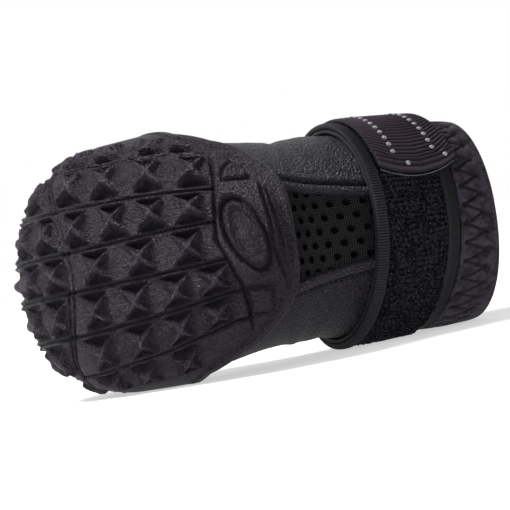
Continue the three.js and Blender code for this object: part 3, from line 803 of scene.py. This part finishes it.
def sole_bmesh(settings):
    """Cup sole: its outer face, its inner face and the rim between them."""
    def inside(station, turn):
        level = {"hollow": 0, "crest": 0, "lane": 0.5, "front": 20, "panel": 20, "oval": 20}
        return skin(station, turn, 0.35), {key: 0 * station + value for key, value in level.items()}
    bm = sole_face(0.42, lambda *place: sole_points(*place, settings))
    join(bm, sole_face(1.5, inside))
    bmesh.ops.bridge_loops(bm, edges=[e for e in bm.edges if e.is_boundary])
    bmesh.ops.recalc_face_normals(bm, faces=bm.faces)
    return bm


class BOOT_OT_sole(bpy.types.Operator):
    """Make the cup sole with its tread and heel panel"""
    bl_idname = "boot.sole"
    bl_label = "Cup sole"

    def execute(self, context):
        settings = context.scene.boot_sole
        bm = sole_bmesh(settings)
        finish_piece("sole_shell", bm, [rubber_material(settings)], ["sole"])
        return {"FINISHED"}


def window_turn(station, inset=0.0):
    """Turn of the window's side at a station; inset is in millimetres."""
    share = (station - WINDOW_LOW) / (WINDOW_HIGH - WINDOW_LOW)
    half = (WINDOW_HEEL + (WINDOW_STRAP - WINDOW_HEEL) * share) / 2 - inset
    return np.arcsin(half / column_values(np.asarray(station, float))[..., 4])


# Soft creases of the leather. Station and turn in degrees of the middle, length along and across
# in millimetres, slant in degrees, and height as a share of the crease depth
CREASES = [
    (5.62, 46, 2.2, 9.0, 12, -1.0),
    (5.42, 60, 2.0, 8.0, -10, 0.8),
    (5.3, 38, 2.6, 7.0, 20, -0.7),
    (5.05, 52, 2.4, 10.0, 8, -0.6),
    (4.8, 66, 2.8, 9.0, -14, 0.7),
    (4.55, 48, 2.2, 8.0, 16, -0.6),
    (4.5, 85, 3.0, 12.0, 6, -0.9),
    (5.4, 95, 3.0, 12.0, -8, 0.9),
    (5.1, -40, 2.4, 8.0, -12, -0.8),
    (5.5, -52, 2.2, 9.0, 10, 0.7),
    (4.75, -55, 2.6, 10.0, -6, -0.8),
    (4.2, -80, 3.0, 12.0, 8, 0.8),
    (5.2, -95, 3.0, 13.0, -5, -0.9),
    (4.6, 130, 3.4, 14.0, 6, -1.0),
    (4.9, -140, 3.4, 14.0, -8, -1.0),
    (3.4, 110, 3.0, 12.0, 18, 0.7),
]


def crease_height(station, turn):
    degrees = np.degrees(turn)
    height = np.zeros_like(station)
    for middle, around, short, long, slant, share in CREASES:
        x = (station - middle) * SHAFT_STATION
        y = (degrees - around) * SHAFT_DEGREE
        cos, sin = math.cos(math.radians(slant)), math.sin(math.radians(slant))
        a, b = x * cos + y * sin, y * cos - x * sin
        height = height + share * np.exp(-(a / short) ** 2 - (b / long) ** 2)
    return height


def vamp_share(points):
    """1 on the mesh vamp at the front of the boot, 0 on the leather."""
    up = points[..., 2] / INSTEP_HEIGHT
    line = np.interp(up, [-1, 0.5, 1.05, 2], [-0.2, -0.14, 0.02, 0.09]) * LAST_LENGTH
    return smooth(-0.4, 0.4, points[..., 0] - line)


def upper_points(station, turn, settings):
    base = skin(station, turn, 0.0)
    vamp = vamp_share(base)
    crease = crease_height(station, turn) * settings.crease / MM * (1 - vamp)
    crease = crease * smooth(2.6, 3.4, station) * smooth(6.1, 5.6, station)
    return skin(station, turn, crease - VAMP_STEP * vamp), vamp


def warped_turns(station):
    """Turns of the upper's columns, which follow the window's sides."""
    window = window_turn(np.clip(station, WINDOW_LOW, WINDOW_HIGH))
    grid = np.linspace(-180, 180, UPPER_COLUMNS + 1)
    inner = WINDOW_COLUMNS * 360 / UPPER_COLUMNS
    size = np.abs(grid)[None, :]
    edge = np.degrees(window)[:, None]
    turn = np.where(size <= inner, size / inner * edge,
                    edge + (size - inner) / (180 - inner) * (180 - edge))
    return np.radians(turn * np.sign(grid)[None, :])


class BOOT_OT_upper(bpy.types.Operator):
    """Make the leather upper with its mesh vamp, window opening and lining"""
    bl_idname = "boot.upper"
    bl_label = "Upper"

    def execute(self, context):
        settings = context.scene.boot_upper
        below = np.linspace(0, WINDOW_LOW, 55)
        beside = np.linspace(WINDOW_LOW, WINDOW_HIGH, 37)[1:]
        above = np.linspace(WINDOW_HIGH, COLLAR, 27)[1:]
        stations = np.concatenate([below, beside, above])
        turns = warped_turns(stations)
        straight = np.radians(np.linspace(-180, 180, UPPER_COLUMNS + 1))
        share = smooth(0.5, 3.5, stations)[:, None]
        turns = straight[None, :] * (1 - share) + turns * share
        points, vamp = upper_points(stations[:, None] + 0 * turns, turns, settings)
        bm = grid_bmesh(points, {"vamp": vamp})
        first = len(below) - 1
        openings = ((WINDOW_COLUMNS, first, first + len(beside)), (FOOT_COLUMNS, 0, FOOT_ROWS))
        opened = [f for f in bm.faces if self.in_opening(f, openings)]
        bmesh.ops.delete(bm, geom=opened, context="FACES")
        lifts = np.linspace(0, TOE_TOP, 73)[:, None]
        front = np.radians(np.linspace(-90, 90, TOE_COLUMNS + 1))[None, :]
        toe, toe_vamp = upper_points(lifts + 0 * front, front + 0 * lifts, settings)
        other = grid_bmesh(toe, {"vamp": toe_vamp})
        hidden = [
            f for f in other.faces if f.index // TOE_COLUMNS < FOOT_TOE_ROWS
            and abs(f.index % TOE_COLUMNS - TOE_COLUMNS // 2) < FOOT_COLUMNS]
        bmesh.ops.delete(other, geom=hidden, context="FACES")
        join(bm, other)
        weld(bm, GRID_GAP)
        bmesh.ops.recalc_face_normals(bm, faces=bm.faces)
        face_out(bm)
        layer = bm.verts.layers.float["vamp"]
        for face in bm.faces:
            face.material_index = int(sum(v[layer] for v in face.verts) > 2)
        lining = knit_material("lining_cloth", (0.02, 0.019, 0.022), 0.0009)
        vamp_cloth = knit_material("vamp_mesh", (0.016, 0.015, 0.018), 0.0012, 0.0003)
        materials = [leather_material(settings), vamp_cloth, lining, lining]
        piece = finish_piece("upper_shell", bm, materials, ["upper"])
        wall = piece.modifiers.new("wall", "SOLIDIFY")
        wall.thickness = WALL * MM
        wall.offset = -1
        wall.material_offset = 2
        wall.material_offset_rim = 0
        return {"FINISHED"}

    @staticmethod
    def in_opening(face, openings):
        """Whether a face of the grid lies in an opening: columns beside the middle, and rows."""
        row, column = divmod(face.index, UPPER_COLUMNS)
        aside = abs(column + 0.5 - UPPER_COLUMNS // 2)
        return any(first <= row < end and aside < half for half, first, end in openings)


class BOOT_OT_mesh(bpy.types.Operator):
    """Make the black mesh of the back window, with its holes"""
    bl_idname = "boot.mesh"
    bl_label = "Back mesh"

    def execute(self, context):
        settings = context.scene.boot_upper
        across = 120
        rows = 170
        stations = np.linspace(3.97, 6.2, rows)[:, None]
        share = np.linspace(-1, 1, across)[None, :]
        turn = share * (window_turn(stations) + 0.04)
        stations = stations + 0 * turn
        x = (stations - 5) * WINDOW_STATION
        y = turn * WINDOW_RADIAN
        row = np.round(y / MESH_ROW)
        shift = (row % 2) * MESH_PITCH / 2
        near_x = np.round((x - shift) / MESH_PITCH) * MESH_PITCH + shift
        distance = np.hypot(x - near_x, y - row * MESH_ROW)
        radius = settings.hole / MM / 2
        # solid is 1 on the mesh and 0 in the dents of its holes, where the material paints shade.
        solid = smooth(radius - 0.12, radius + 0.22, distance)
        offset = -0.45 - 1.0 * (1 - solid) + 0.25 * np.exp(-((distance - 1.0) / 0.3) ** 2)
        points = skin(stations, turn, offset)
        bm = grid_bmesh(points, {"solid": solid}, np.stack([x, y], axis=-1))
        face_out(bm, Vector(lie(skin(5.0, math.pi, 0.0)).tolist()))
        piece = finish_piece(
            "mesh_window", bm, [mesh_material(settings)], ["back_mesh"])
        wall = piece.modifiers.new("wall", "SOLIDIFY")
        wall.thickness = 0.3 * MM
        wall.offset = -1
        return {"FINISHED"}


def rounded(count, square):
    """Closed section with rounded corners, as shares across it and over it from -1 to 1."""
    angle = np.linspace(0, 2 * math.pi, count + 1)[None, :]
    return [np.sign(wave) * np.abs(wave) ** square for wave in (np.cos(angle), np.sin(angle))]


def all_round(columns):
    """Turns once round the shaft, as a column."""
    return np.linspace(0, 2 * math.pi, columns + 1)[:, None]


def tube_points(stations, turns, width, low, high, sections=10):
    """Rounded strip along a path on the surface: rows along it and a closed section across it."""
    stations, turns = np.asarray(stations, float), np.asarray(turns, float)
    along, around = surface_scale(stations, turns, low)
    run = np.gradient(stations) * along
    swing = np.gradient(turns) * around
    length = np.hypot(run, swing)
    side, rise = rounded(sections, 0.7)
    step = side * width / 2 * (-swing / length / along)[:, None]
    swerve = side * width / 2 * (run / length / around)[:, None]
    offset = low + (high - low) * (rise / 2 + 0.5)
    return skin(stations[:, None] + step, turns[:, None] + swerve, offset)


def capped_tube(points, marks=None):
    """Closed shape from rows of closed sections, with its ends filled."""
    bm = grid_bmesh(points, marks)
    weld(bm)
    ends = [e for e in bm.edges if e.is_boundary]
    bmesh.ops.holes_fill(bm, edges=ends, sides=0)
    bmesh.ops.recalc_face_normals(bm, faces=bm.faces)
    return bm


def add_dots(bm, places, normals, along, size, detail=1):
    """Small rounded stitches; size is length, width and height in millimetres."""
    for place, normal, run in zip(places, normals, along):
        z = Vector(normal).normalized()
        x = (Vector(run) - Vector(run).dot(z) * z).normalized()
        y = z.cross(x)
        matrix = Matrix((x * size[0], y * size[1], z * size[2])).transposed().to_4x4() * 0.5 * MM
        matrix.translation = Vector(place)
        matrix[3][3] = 1.0
        bmesh.ops.create_icosphere(bm, subdivisions=detail, radius=1.0, matrix=matrix)


def surface_frames(stations, turns, offset):
    """Places, outward normals and directions along a path on the surface, as the boot lies."""
    stations, turns = np.asarray(stations, float), np.asarray(turns, float)
    here = lie(skin(stations, turns, offset))
    ahead = lie(skin(stations + 0.02, turns, offset)) - here
    beside = lie(skin(stations, turns + 0.02, offset)) - here
    normal = np.cross(beside, ahead)
    middle = lie((skin(stations, turns, 0) + skin(stations, turns + math.pi, 0)) / 2)
    flip = np.sign(np.sum(normal * (here - middle), axis=-1, keepdims=True))
    run = np.gradient(here, axis=0) if len(here) > 1 else ahead
    return here, normal * flip, run


def path_samples(stations, turns, pitch):
    """Evenly spaced stations and turns along a path."""
    points = skin(np.asarray(stations), np.asarray(turns), 0)
    steps = np.linalg.norm(np.diff(points, axis=0), axis=1)
    length = np.concatenate([[0], np.cumsum(steps)])
    marks = np.arange(pitch / 2, length[-1], pitch)
    return np.interp(marks, length, stations), np.interp(marks, length, turns)


class BOOT_OT_seams(bpy.types.Operator):
    """Make the welts and stitches round the mesh window"""
    bl_idname = "boot.seams"
    bl_label = "Window seams"

    def execute(self, context):
        settings = context.scene.boot_upper
        # The welts take a lit copy of the leather, 1.35 times lighter, as painted highlight.
        leather = leather_material(settings, 1.35)
        thread = plain_material("dark_thread", (0.004, 0.0036, 0.005), 0.6)
        stations = np.linspace(3.9, 6.12, 60)
        for name, side, inset, width, high in (
            ("top_welt", 1, -1.0, 1.9, 0.95), ("top_fold", 1, -3.9, 1.9, 0.7),
            ("bottom_welt", -1, -1.2, 2.4, 1.3),
        ):
            turns = side * window_turn(stations, inset)
            bm = capped_tube(tube_points(stations, turns, width, -0.8, high))
            finish_piece(name, bm, [leather], [])
        stitches = bmesh.new()
        for side, inset, level in ((1, -2.5, 0.15), (-1, -2.9, 0.2), (-1, -3.5, 0.05)):
            turns = side * window_turn(stations, inset)
            s, t = path_samples(stations, turns, 1.5)
            places, normals, run = surface_frames(s, t, level)
            add_dots(stitches, places, normals, run, (1.25, 0.4, 0.4))
        finish_piece("seam_stitches", stitches, [thread], [])
        return {"FINISHED"}


def ring_bmesh(columns, profile, marks):
    """Closed ring round the shaft; profile(turn) gives stations and offsets, section by section."""
    turn = all_round(columns)
    stations, offsets = profile(turn)
    points = skin(stations, turn + 0 * stations, offsets)
    points[-1] = points[0]
    bm = grid_bmesh(points, marks)
    weld(bm)
    bmesh.ops.recalc_face_normals(bm, faces=bm.faces)
    return bm


def band_profile(edges, low, high, across, square):
    """Section of a flat band with rounded edges, as shares across it and offsets."""
    side, rise = rounded(across, square)
    start, end = edges
    return (start + end) / 2 + (end - start) / 2 * side, (low + high) / 2 + (high - low) / 2 * rise


def strap_frames(turn, distance, level):
    return surface_frames(strap_station(turn, distance), turn, level)


class BOOT_OT_strap(bpy.types.Operator):
    """Make the strap: its backing, its loop band and its ribbed binding"""
    bl_idname = "boot.strap"
    bl_label = "Strap"

    def execute(self, context):
        settings = context.scene.boot_strap
        self.backing()
        self.loop_band(settings)
        self.binding()
        return {"FINISHED"}

    @staticmethod
    def backing():
        """Flat tape with a ribbed strip along its upper edge."""
        ribs = 290
        columns, across = ribs * 4, 48

        def profile(turn):
            strip = smooth(10.4, 10.0, distance)
            return strap_station(turn, distance), offset + 0.25 * strip * (offset > 0.9) + 0 * turn
        distance, offset = band_profile(BACKING, 0.3, 1.25, across, 0.3)
        turn = all_round(columns)
        # The rib mark is low between the ribs, where the material paints shade.
        rib = (0.45 + 0.3 * np.cos(turn * ribs)) * smooth(10.3, 9.9, distance)
        bm = ring_bmesh(columns, profile, {"rib": rib})
        cloth = ribbed_material("backing_webbing", (0.0125, 0.0112, 0.0155))
        finish_piece("strap_backing_band", bm, [cloth], ["strap_backing"])

    def loop_band(self, settings):
        """Rough loop pile with its loops in rows."""
        random = np.random.default_rng(7)
        rows = 126
        columns, across = ((504, 72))
        rough = random.normal(0, 1, (columns + 1, across + 1))
        rough[:, -1] = rough[:, 0]

        def profile(turn):
            distance, offset = band_profile(LOOPS, 1.3, 2.45, across, 0.4)
            waves = 0.12 * np.sin(turn * 9) * np.sin(distance * 0.6)
            wobble = 0.18 * np.sin(turn * 37 + distance) * np.sin(distance * 1.9 + turn * 11)
            lift = (rough * 0.13 + waves + wobble + 0.12 * np.cos(turn * rows)) * (offset > 1.8)
            return strap_station(turn, distance + 0.15 * rough), offset + lift
        turn = all_round(columns)
        row = 0.5 + 0.5 * np.cos(turn * rows) + np.zeros((1, across + 1))
        bm = ring_bmesh(columns, profile, {"row": row})
        pile = pile_material(settings)
        finish_piece("loop_band", bm, [pile], ["strap_loop"])
        self.tufts(random)

    @staticmethod
    def tufts(random):
        """Small loops and loose fibres that stand on the loop band."""
        loops = bmesh.new()
        pitch = 1.55
        rows = int(17 / pitch)
        count = int(176 / pitch)
        turn = np.repeat(np.arange(count) * 2 * math.pi / count, rows)
        distance = np.tile((np.arange(rows) + 0.5) * pitch - 8.9, count)
        turn = turn + random.normal(0, 0.009, turn.shape)
        distance = distance + random.normal(0, 0.28, turn.shape)
        keep = random.random(turn.shape) < 0.6
        turn, distance = turn[keep], distance[keep]
        places, normals, _ = strap_frames(turn, distance, 2.62)
        run = random.normal(0, 1, normals.shape)
        add_dots(loops, places, normals, run, (0.75, 0.42, 0.5))
        light = plain_material("loop_fibre", (0.03, 0.0285, 0.036), 0.85)
        finish_piece("loop_tufts", loops, [light], [])
        hairs = bmesh.new()
        count = 2200
        turn = random.uniform(0, 2 * math.pi, count)
        distance = random.uniform(-9.0, 8.1, count)
        places, normals, _ = strap_frames(turn, distance, 2.45)
        for place, normal in zip(places, normals):
            lean = Vector(normal).normalized() + Vector(random.normal(0, 0.75, 3).tolist())
            z = lean.normalized()
            if place[2] < 0.002:
                continue
            turned = z.to_track_quat("Z", "Y").to_matrix().to_4x4()
            length = float(random.uniform(0.5, 1.5)) * MM
            turned.translation = Vector(place) + z * length / 2
            bmesh.ops.create_cone(
                hairs, cap_ends=True, segments=3, radius1=0.055 * MM, radius2=0.02 * MM,
                depth=length, matrix=turned)
        finish_piece("loop_fibres", hairs, [light], [])

    @staticmethod
    def binding():
        """Ribbed binding along the lower edge."""
        ribs = 250
        columns = ribs * 4
        across = 20

        def profile(turn):
            distance, offset = band_profile(BINDING, 1.3, 3.0, across, 0.8)
            wave = np.cos(turn * ribs)
            return strap_station(turn, distance), offset + 0.2 * wave * (offset > 1.9)
        turn = all_round(columns)
        # The rib mark is low between the ribs, where the material paints shade.
        rib = 0.5 + 0.5 * np.cos(turn * ribs) + np.zeros((1, across + 1))
        bm = ring_bmesh(columns, profile, {"rib": rib})
        cloth = ribbed_material("binding_twill", (0.0135, 0.0125, 0.0165))
        finish_piece("ribbed_edge", bm, [cloth], ["strap_binding"])


def tab_end(distance):
    """Turn where the closing tab ends; the middle of its end reaches farthest down."""
    return np.radians(30 - 6.5 * (1 - ((distance - 2.0) / TAB_HALF) ** 2))


def tab_turn(distance, run):
    """Turn of the closing tab at a distance across it and a run along it in millimetres."""
    return TAB_START + (tab_end(distance) - TAB_START) * run / TAB_LENGTH


class BOOT_OT_tab(bpy.types.Operator):
    """Make the ribbed closing tab with its light dots and folded end"""
    bl_idname = "boot.tab"
    bl_label = "Closing tab"

    def execute(self, context):
        settings = context.scene.boot_strap
        columns, across = ((640, 64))
        run = np.linspace(0, TAB_LENGTH, columns + 1)[:, None]
        distance, offset = band_profile(TAB, 2.8, 3.85, across, 0.3)
        turn = tab_turn(distance, run)
        side = (distance - TAB_MIDDLE) / TAB_HALF
        pitch = settings.rib / MM
        middle = smooth(0.56, 0.5, np.abs(side))
        chevron = 3.0 * np.maximum(0, np.abs(side) - 0.5)
        wave = np.cos(2 * math.pi * (run + chevron) / pitch)
        fine = np.cos(2 * math.pi * distance / 0.62)
        edge = smooth(0.99, 0.93, np.abs(side))
        ribs = (0.24 * wave + 0.03 * fine * middle) * edge
        hem = smooth(TAB_LENGTH - 4.3, TAB_LENGTH - 3.7, run)
        top = offset > 3.4
        lift = np.where(top, ribs * (1 - hem) + hem * (0.75 + 0.14 * np.cos(run * 4.2)), 0.0)
        round_end = smooth(TAB_LENGTH, TAB_LENGTH - 1.2, run)
        offset = 3.3 + (offset + lift - 3.3) * (0.25 + 0.75 * round_end)
        points = skin(strap_station(turn, distance), turn, offset)
        rib = (0.5 + 0.5 * wave) * edge * (1 - hem) * (0.85 + 0.15 * fine * middle)
        # The tab's sides and underside have rib 0.1, so they take the painted shade of the rib
        # grooves.
        rib = np.where(top, rib + hem * (0.3 + 0.25 * np.cos(run * 4.2)), 0.1)
        bm = capped_tube(points, {"rib": rib})
        cloth = ribbed_material("grosgrain", tuple(settings.tab))
        finish_piece("ribbed_tab", bm, [cloth], ["strap_tab"])
        self.dots(settings)
        return {"FINISHED"}

    @staticmethod
    def dots(settings):
        """Two rows of light dots, one dot at the end of each, and the thread of the hem."""
        bm = bmesh.new()
        pitch = 2 * settings.rib / MM
        runs = np.arange(pitch / 2, TAB_LENGTH - 4.6, pitch)
        for distance in (-3.5, 8.2):
            turn = tab_turn(distance, runs)
            places, normals, _ = strap_frames(turn, distance, 3.98)
            along = np.gradient(places, axis=0)
            add_dots(bm, places, normals, along, (1.25, 1.45, 0.7), 2)
            aside = distance + 2.4
            turn = np.array([tab_turn(aside, TAB_LENGTH - 2.2)])
            places, normals, run = strap_frames(turn, aside, 4.72)
            add_dots(bm, places, normals, run, (1.3, 1.3, 0.7), 2)
        light = plain_material("light_thread", tuple(settings.thread), 0.55)
        finish_piece("tab_dots", bm, [light], [])
        distance = np.linspace(-8.4, 13.5, 60)
        turn = tab_end(distance) - 0.012
        points = tube_points(strap_station(turn, distance), turn, 0.22, 2.72, 2.95, 6)
        grey = plain_material("hem_thread", (0.12, 0.115, 0.13), 0.6)
        finish_piece("tab_hem_thread", capped_tube(points), [grey], [])


class BOOT_OT_cuff(bpy.types.Operator):
    """Make the cuff over the collar with its zigzag stitches"""
    bl_idname = "boot.cuff"
    bl_label = "Cuff"

    def execute(self, context):
        settings = context.scene.boot_strap
        lip = 1.35 / COLLAR_SCALE
        teeth = 34
        rows = np.concatenate([[0.0, 0.03], np.linspace(0.08, 0.95, 44), [1.0]])

        def tooth(turn):
            phase = turn * teeth / (2 * math.pi)
            return np.abs(2 * (phase - np.floor(phase)) - 1)

        def zigzag(turn):
            return 0.17 + 0.51 * tooth(turn)

        def pucker(turn, rows):
            line = 0.85 * bump((rows - zigzag(turn)) * CUFF_DEPTH * 0.55, 0.62)
            top = np.hypot((1 - tooth(turn)) * 3.0, (rows - 0.68) * CUFF_DEPTH)
            low = np.hypot(tooth(turn) * 3.0, (rows - 0.17) * CUFF_DEPTH)
            return np.maximum(line, np.maximum(bump(top, 1.2), 0.9 * bump(low, 1.05)))

        def profile(turn):
            start = strap_station(turn, CUFF_START)
            outer = start + (COLLAR + lip * 0.3 - start) * rows[None, :]
            puff = 0.35 * np.sin(np.clip(rows, 0, 1) * math.pi)[None, :] ** 0.7
            thick = 1.2 + puff - 0.85 * pucker(turn, rows[None, :])
            thick[:, 0] = 0.8
            edge = [(lip * 0.75, 1.1), (lip, 0.4), (lip, -1.4), (lip, -2.3), (lip * 0.6, -2.9)]
            down = [(-0.1, -3.0), (-0.22, -3.0), (-0.34, -2.9), (-0.347, -2.3), (-0.2, -2.1),
                    (0.01, -2.1), (0.01, 0.3)]
            rest = np.array(edge + down)
            stations = np.concatenate(
                [outer, COLLAR + rest[None, :, 0] + 0 * turn, start, start], axis=1)
            offsets = np.concatenate(
                [thick, rest[None, :, 1] + 0 * turn, 0.3 + 0 * turn, 0.8 + 0 * turn], axis=1)
            return stations, offsets
        columns = 736
        turn = all_round(columns)
        # Painted shade: the rib mark is low along the sunk zigzag and in the dimples at its tips, so
        # the cloth is painted dark there.
        seam = np.pad(pucker(turn, rows[None, :]), ((0, 0), (0, 14)))
        bm = ring_bmesh(columns, profile, {"rib": 1 - seam})
        cloth = ribbed_material("cuff_cloth", darker(settings.cuff, 0.74), 1.1)
        finish_piece("cuff_band", bm, [cloth], ["cuff"])
        turns = np.linspace(0, 2 * math.pi, teeth * 8 + 1)
        start = strap_station(turns, CUFF_START)
        stations = start + (COLLAR - start) * zigzag(turns)
        thread = plain_material("cuff_thread", (0.005, 0.0047, 0.006), 0.7)
        stitches = capped_tube(tube_points(stations, turns, 0.4, 0.55, 1.0, 6))
        finish_piece("cuff_stitches", stitches, [thread], [])
        return {"FINISHED"}


class BOOT_OT_insole(bpy.types.Operator):
    """Make the foam insole"""
    bl_idname = "boot.insole"
    bl_label = "Insole"

    def execute(self, context):
        station = np.linspace(-1.15, 3.35, 60)[:, None]
        share = np.linspace(0, 1, 60)[:, None]
        end = 1 - 0.35 * np.abs(2 * share - 1) ** 6
        side, rise = rounded(48, 0.35)
        points = skin(station, math.radians(60) * end * side, -3.4 + 1.0 * rise)
        bm = capped_tube(points)
        foam = knit_material("insole_cloth", (0.02, 0.019, 0.022), 0.0011)
        finish_piece("insole_pad", bm, [foam], ["insole"])
        return {"FINISHED"}


class BOOT_OT_stage(bpy.types.Operator):
    """Make the floor, the lights and the camera"""
    bl_idname = "boot.stage"
    bl_label = "Stage"

    def execute(self, context):
        scene = context.scene
        bm = bmesh.new()
        bmesh.ops.create_grid(bm, x_segments=1, y_segments=1, size=6.0)
        mesh = bpy.data.meshes.new("floor")
        bm.to_mesh(mesh)
        bm.free()
        floor = bpy.data.objects.new("floor", mesh)
        scene.collection.objects.link(floor)
        paper = self.paper("floor_paper", 0.6, 0.52, 0.85)
        mesh.materials.append(paper)
        back = Vector((0.5527, -0.8332, 0))
        bm = bmesh.new()
        matrix = Matrix.Translation(back * -2.2) @ back.to_track_quat("Z", "Y").to_matrix().to_4x4()
        bmesh.ops.create_grid(bm, x_segments=1, y_segments=1, size=3.0, matrix=matrix)
        sheet = bpy.data.meshes.new("backdrop")
        bm.to_mesh(sheet)
        bm.free()
        sheet.materials.append(self.paper("backdrop_paper", 0.0, 1.0, 1.0))
        backdrop = bpy.data.objects.new("backdrop", sheet)
        scene.collection.objects.link(backdrop)
        world = bpy.data.worlds.new("studio")
        scene.world = world
        world.use_nodes = True
        world.node_tree.nodes["Background"].inputs["Color"].default_value = (1, 1, 1, 1)
        world.node_tree.nodes["Background"].inputs["Strength"].default_value = 0.32
        power = scene.boot_stage.key_power
        self.light("key", (-0.3, -0.16, 0.75), 0.22, power * 6)
        self.light("front", (0.2, -0.9, 0.35), 0.4, power * 0.8)
        self.camera(scene)
        scene.view_settings.view_transform = "Standard"
        return {"FINISHED"}

    @staticmethod
    def paper(name, shade, near, far):
        """Pale paper with an even glow, which is stronger where less light falls."""
        g = Graph(name)
        away = g.node("ShaderNodeVectorMath", {"operation": "LENGTH"}, {0: g.place()}, "Value")
        glow = g.blend(away.range(0.15, 0.7), (near,) * 3, (far,) * 3)
        g.feed(g.shader.inputs["Emission Color"], glow)
        return g.finish((shade,) * 3, 0.9, Specular_IOR_Level=0.0, Emission_Strength=1.0)

    @staticmethod
    def light(name, place, size, power):
        data = bpy.data.lights.new(name, "AREA")
        data.energy = power
        data.size = size
        lamp = bpy.data.objects.new(name, data)
        lamp.location = place
        aim = Vector((0.02, 0.03, 0.03)) - Vector(place)
        lamp.rotation_euler = aim.to_track_quat("-Z", "Y").to_euler()
        bpy.context.scene.collection.objects.link(lamp)

    @staticmethod
    def camera(scene):
        """Level view from the sole's side, rolled as in the picture."""
        back = Vector((0.5527, -0.8332, 0.0158)).normalized()
        side = Vector((0, 0, 1)).cross(back).normalized()
        rise = back.cross(side)
        roll = math.radians(11.63)
        right = side * math.cos(roll) - rise * math.sin(roll)
        up = side * math.sin(roll) + rise * math.cos(roll)
        look = Vector((20.69, 26.3, 29.5))
        aim = look - right * 1.922 - up * 1.662
        data = bpy.data.cameras.new("camera")
        data.lens = 163.06
        data.sensor_width = 36
        data.clip_start = 0.01
        data.clip_end = 50
        camera = bpy.data.objects.new("camera", data)
        matrix = Matrix((right, up, back)).transposed().to_4x4()
        matrix.translation = (aim + back * 600) * MM
        camera.matrix_world = matrix
        scene.collection.objects.link(camera)
        scene.camera = camera


class BOOT_PT_panel(bpy.types.Panel):
    """Panel that lists the boot's pieces"""
    bl_idname = "BOOT_PT_panel"
    bl_label = "Dog boot"
    bl_space_type = "VIEW_3D"
    bl_region_type = "UI"
    bl_category = "Dog boot"

    def draw(self, context):
        scene = context.scene
        groups = (
            (scene.boot_sole, ("tread", "groove", "rubber"), ("boot.sole", "boot.insole")),
            (scene.boot_upper, ("crease", "hole", "leather", "mesh"),
             ("boot.upper", "boot.mesh", "boot.seams")),
            (scene.boot_strap, ("rib", "pile", "tab", "cuff", "thread"),
             ("boot.strap", "boot.tab", "boot.cuff")),
            (scene.boot_stage, ("key_power",), ("boot.stage",)),
        )
        for settings, names, operators in groups:
            box = self.layout.box()
            for name in names:
                box.prop(settings, name)
            for operator in operators:
                box.operator(operator)


CLASSES = (
    SoleSettings, UpperSettings, StrapSettings, StageSettings,
    BOOT_OT_sole, BOOT_OT_upper, BOOT_OT_mesh, BOOT_OT_seams, BOOT_OT_strap, BOOT_OT_tab,
    BOOT_OT_cuff, BOOT_OT_insole, BOOT_OT_stage, BOOT_PT_panel,
)
SETTINGS = {
    "boot_sole": SoleSettings, "boot_upper": UpperSettings,
    "boot_strap": StrapSettings, "boot_stage": StageSettings,
}


def register():
    for item in CLASSES:
        bpy.utils.register_class(item)
    for name, group in SETTINGS.items():
        setattr(bpy.types.Scene, name, PointerProperty(type=group))


def unregister():
    for name in SETTINGS:
        delattr(bpy.types.Scene, name)
    for item in reversed(CLASSES):
        bpy.utils.unregister_class(item)


def main():
    register()
    bpy.ops.boot.sole()
    bpy.ops.boot.upper()
    bpy.ops.boot.mesh()
    bpy.ops.boot.seams()
    bpy.ops.boot.strap()
    bpy.ops.boot.tab()
    bpy.ops.boot.cuff()
    bpy.ops.boot.insole()
    bpy.ops.boot.stage()


if __name__ == "__main__":
    main()
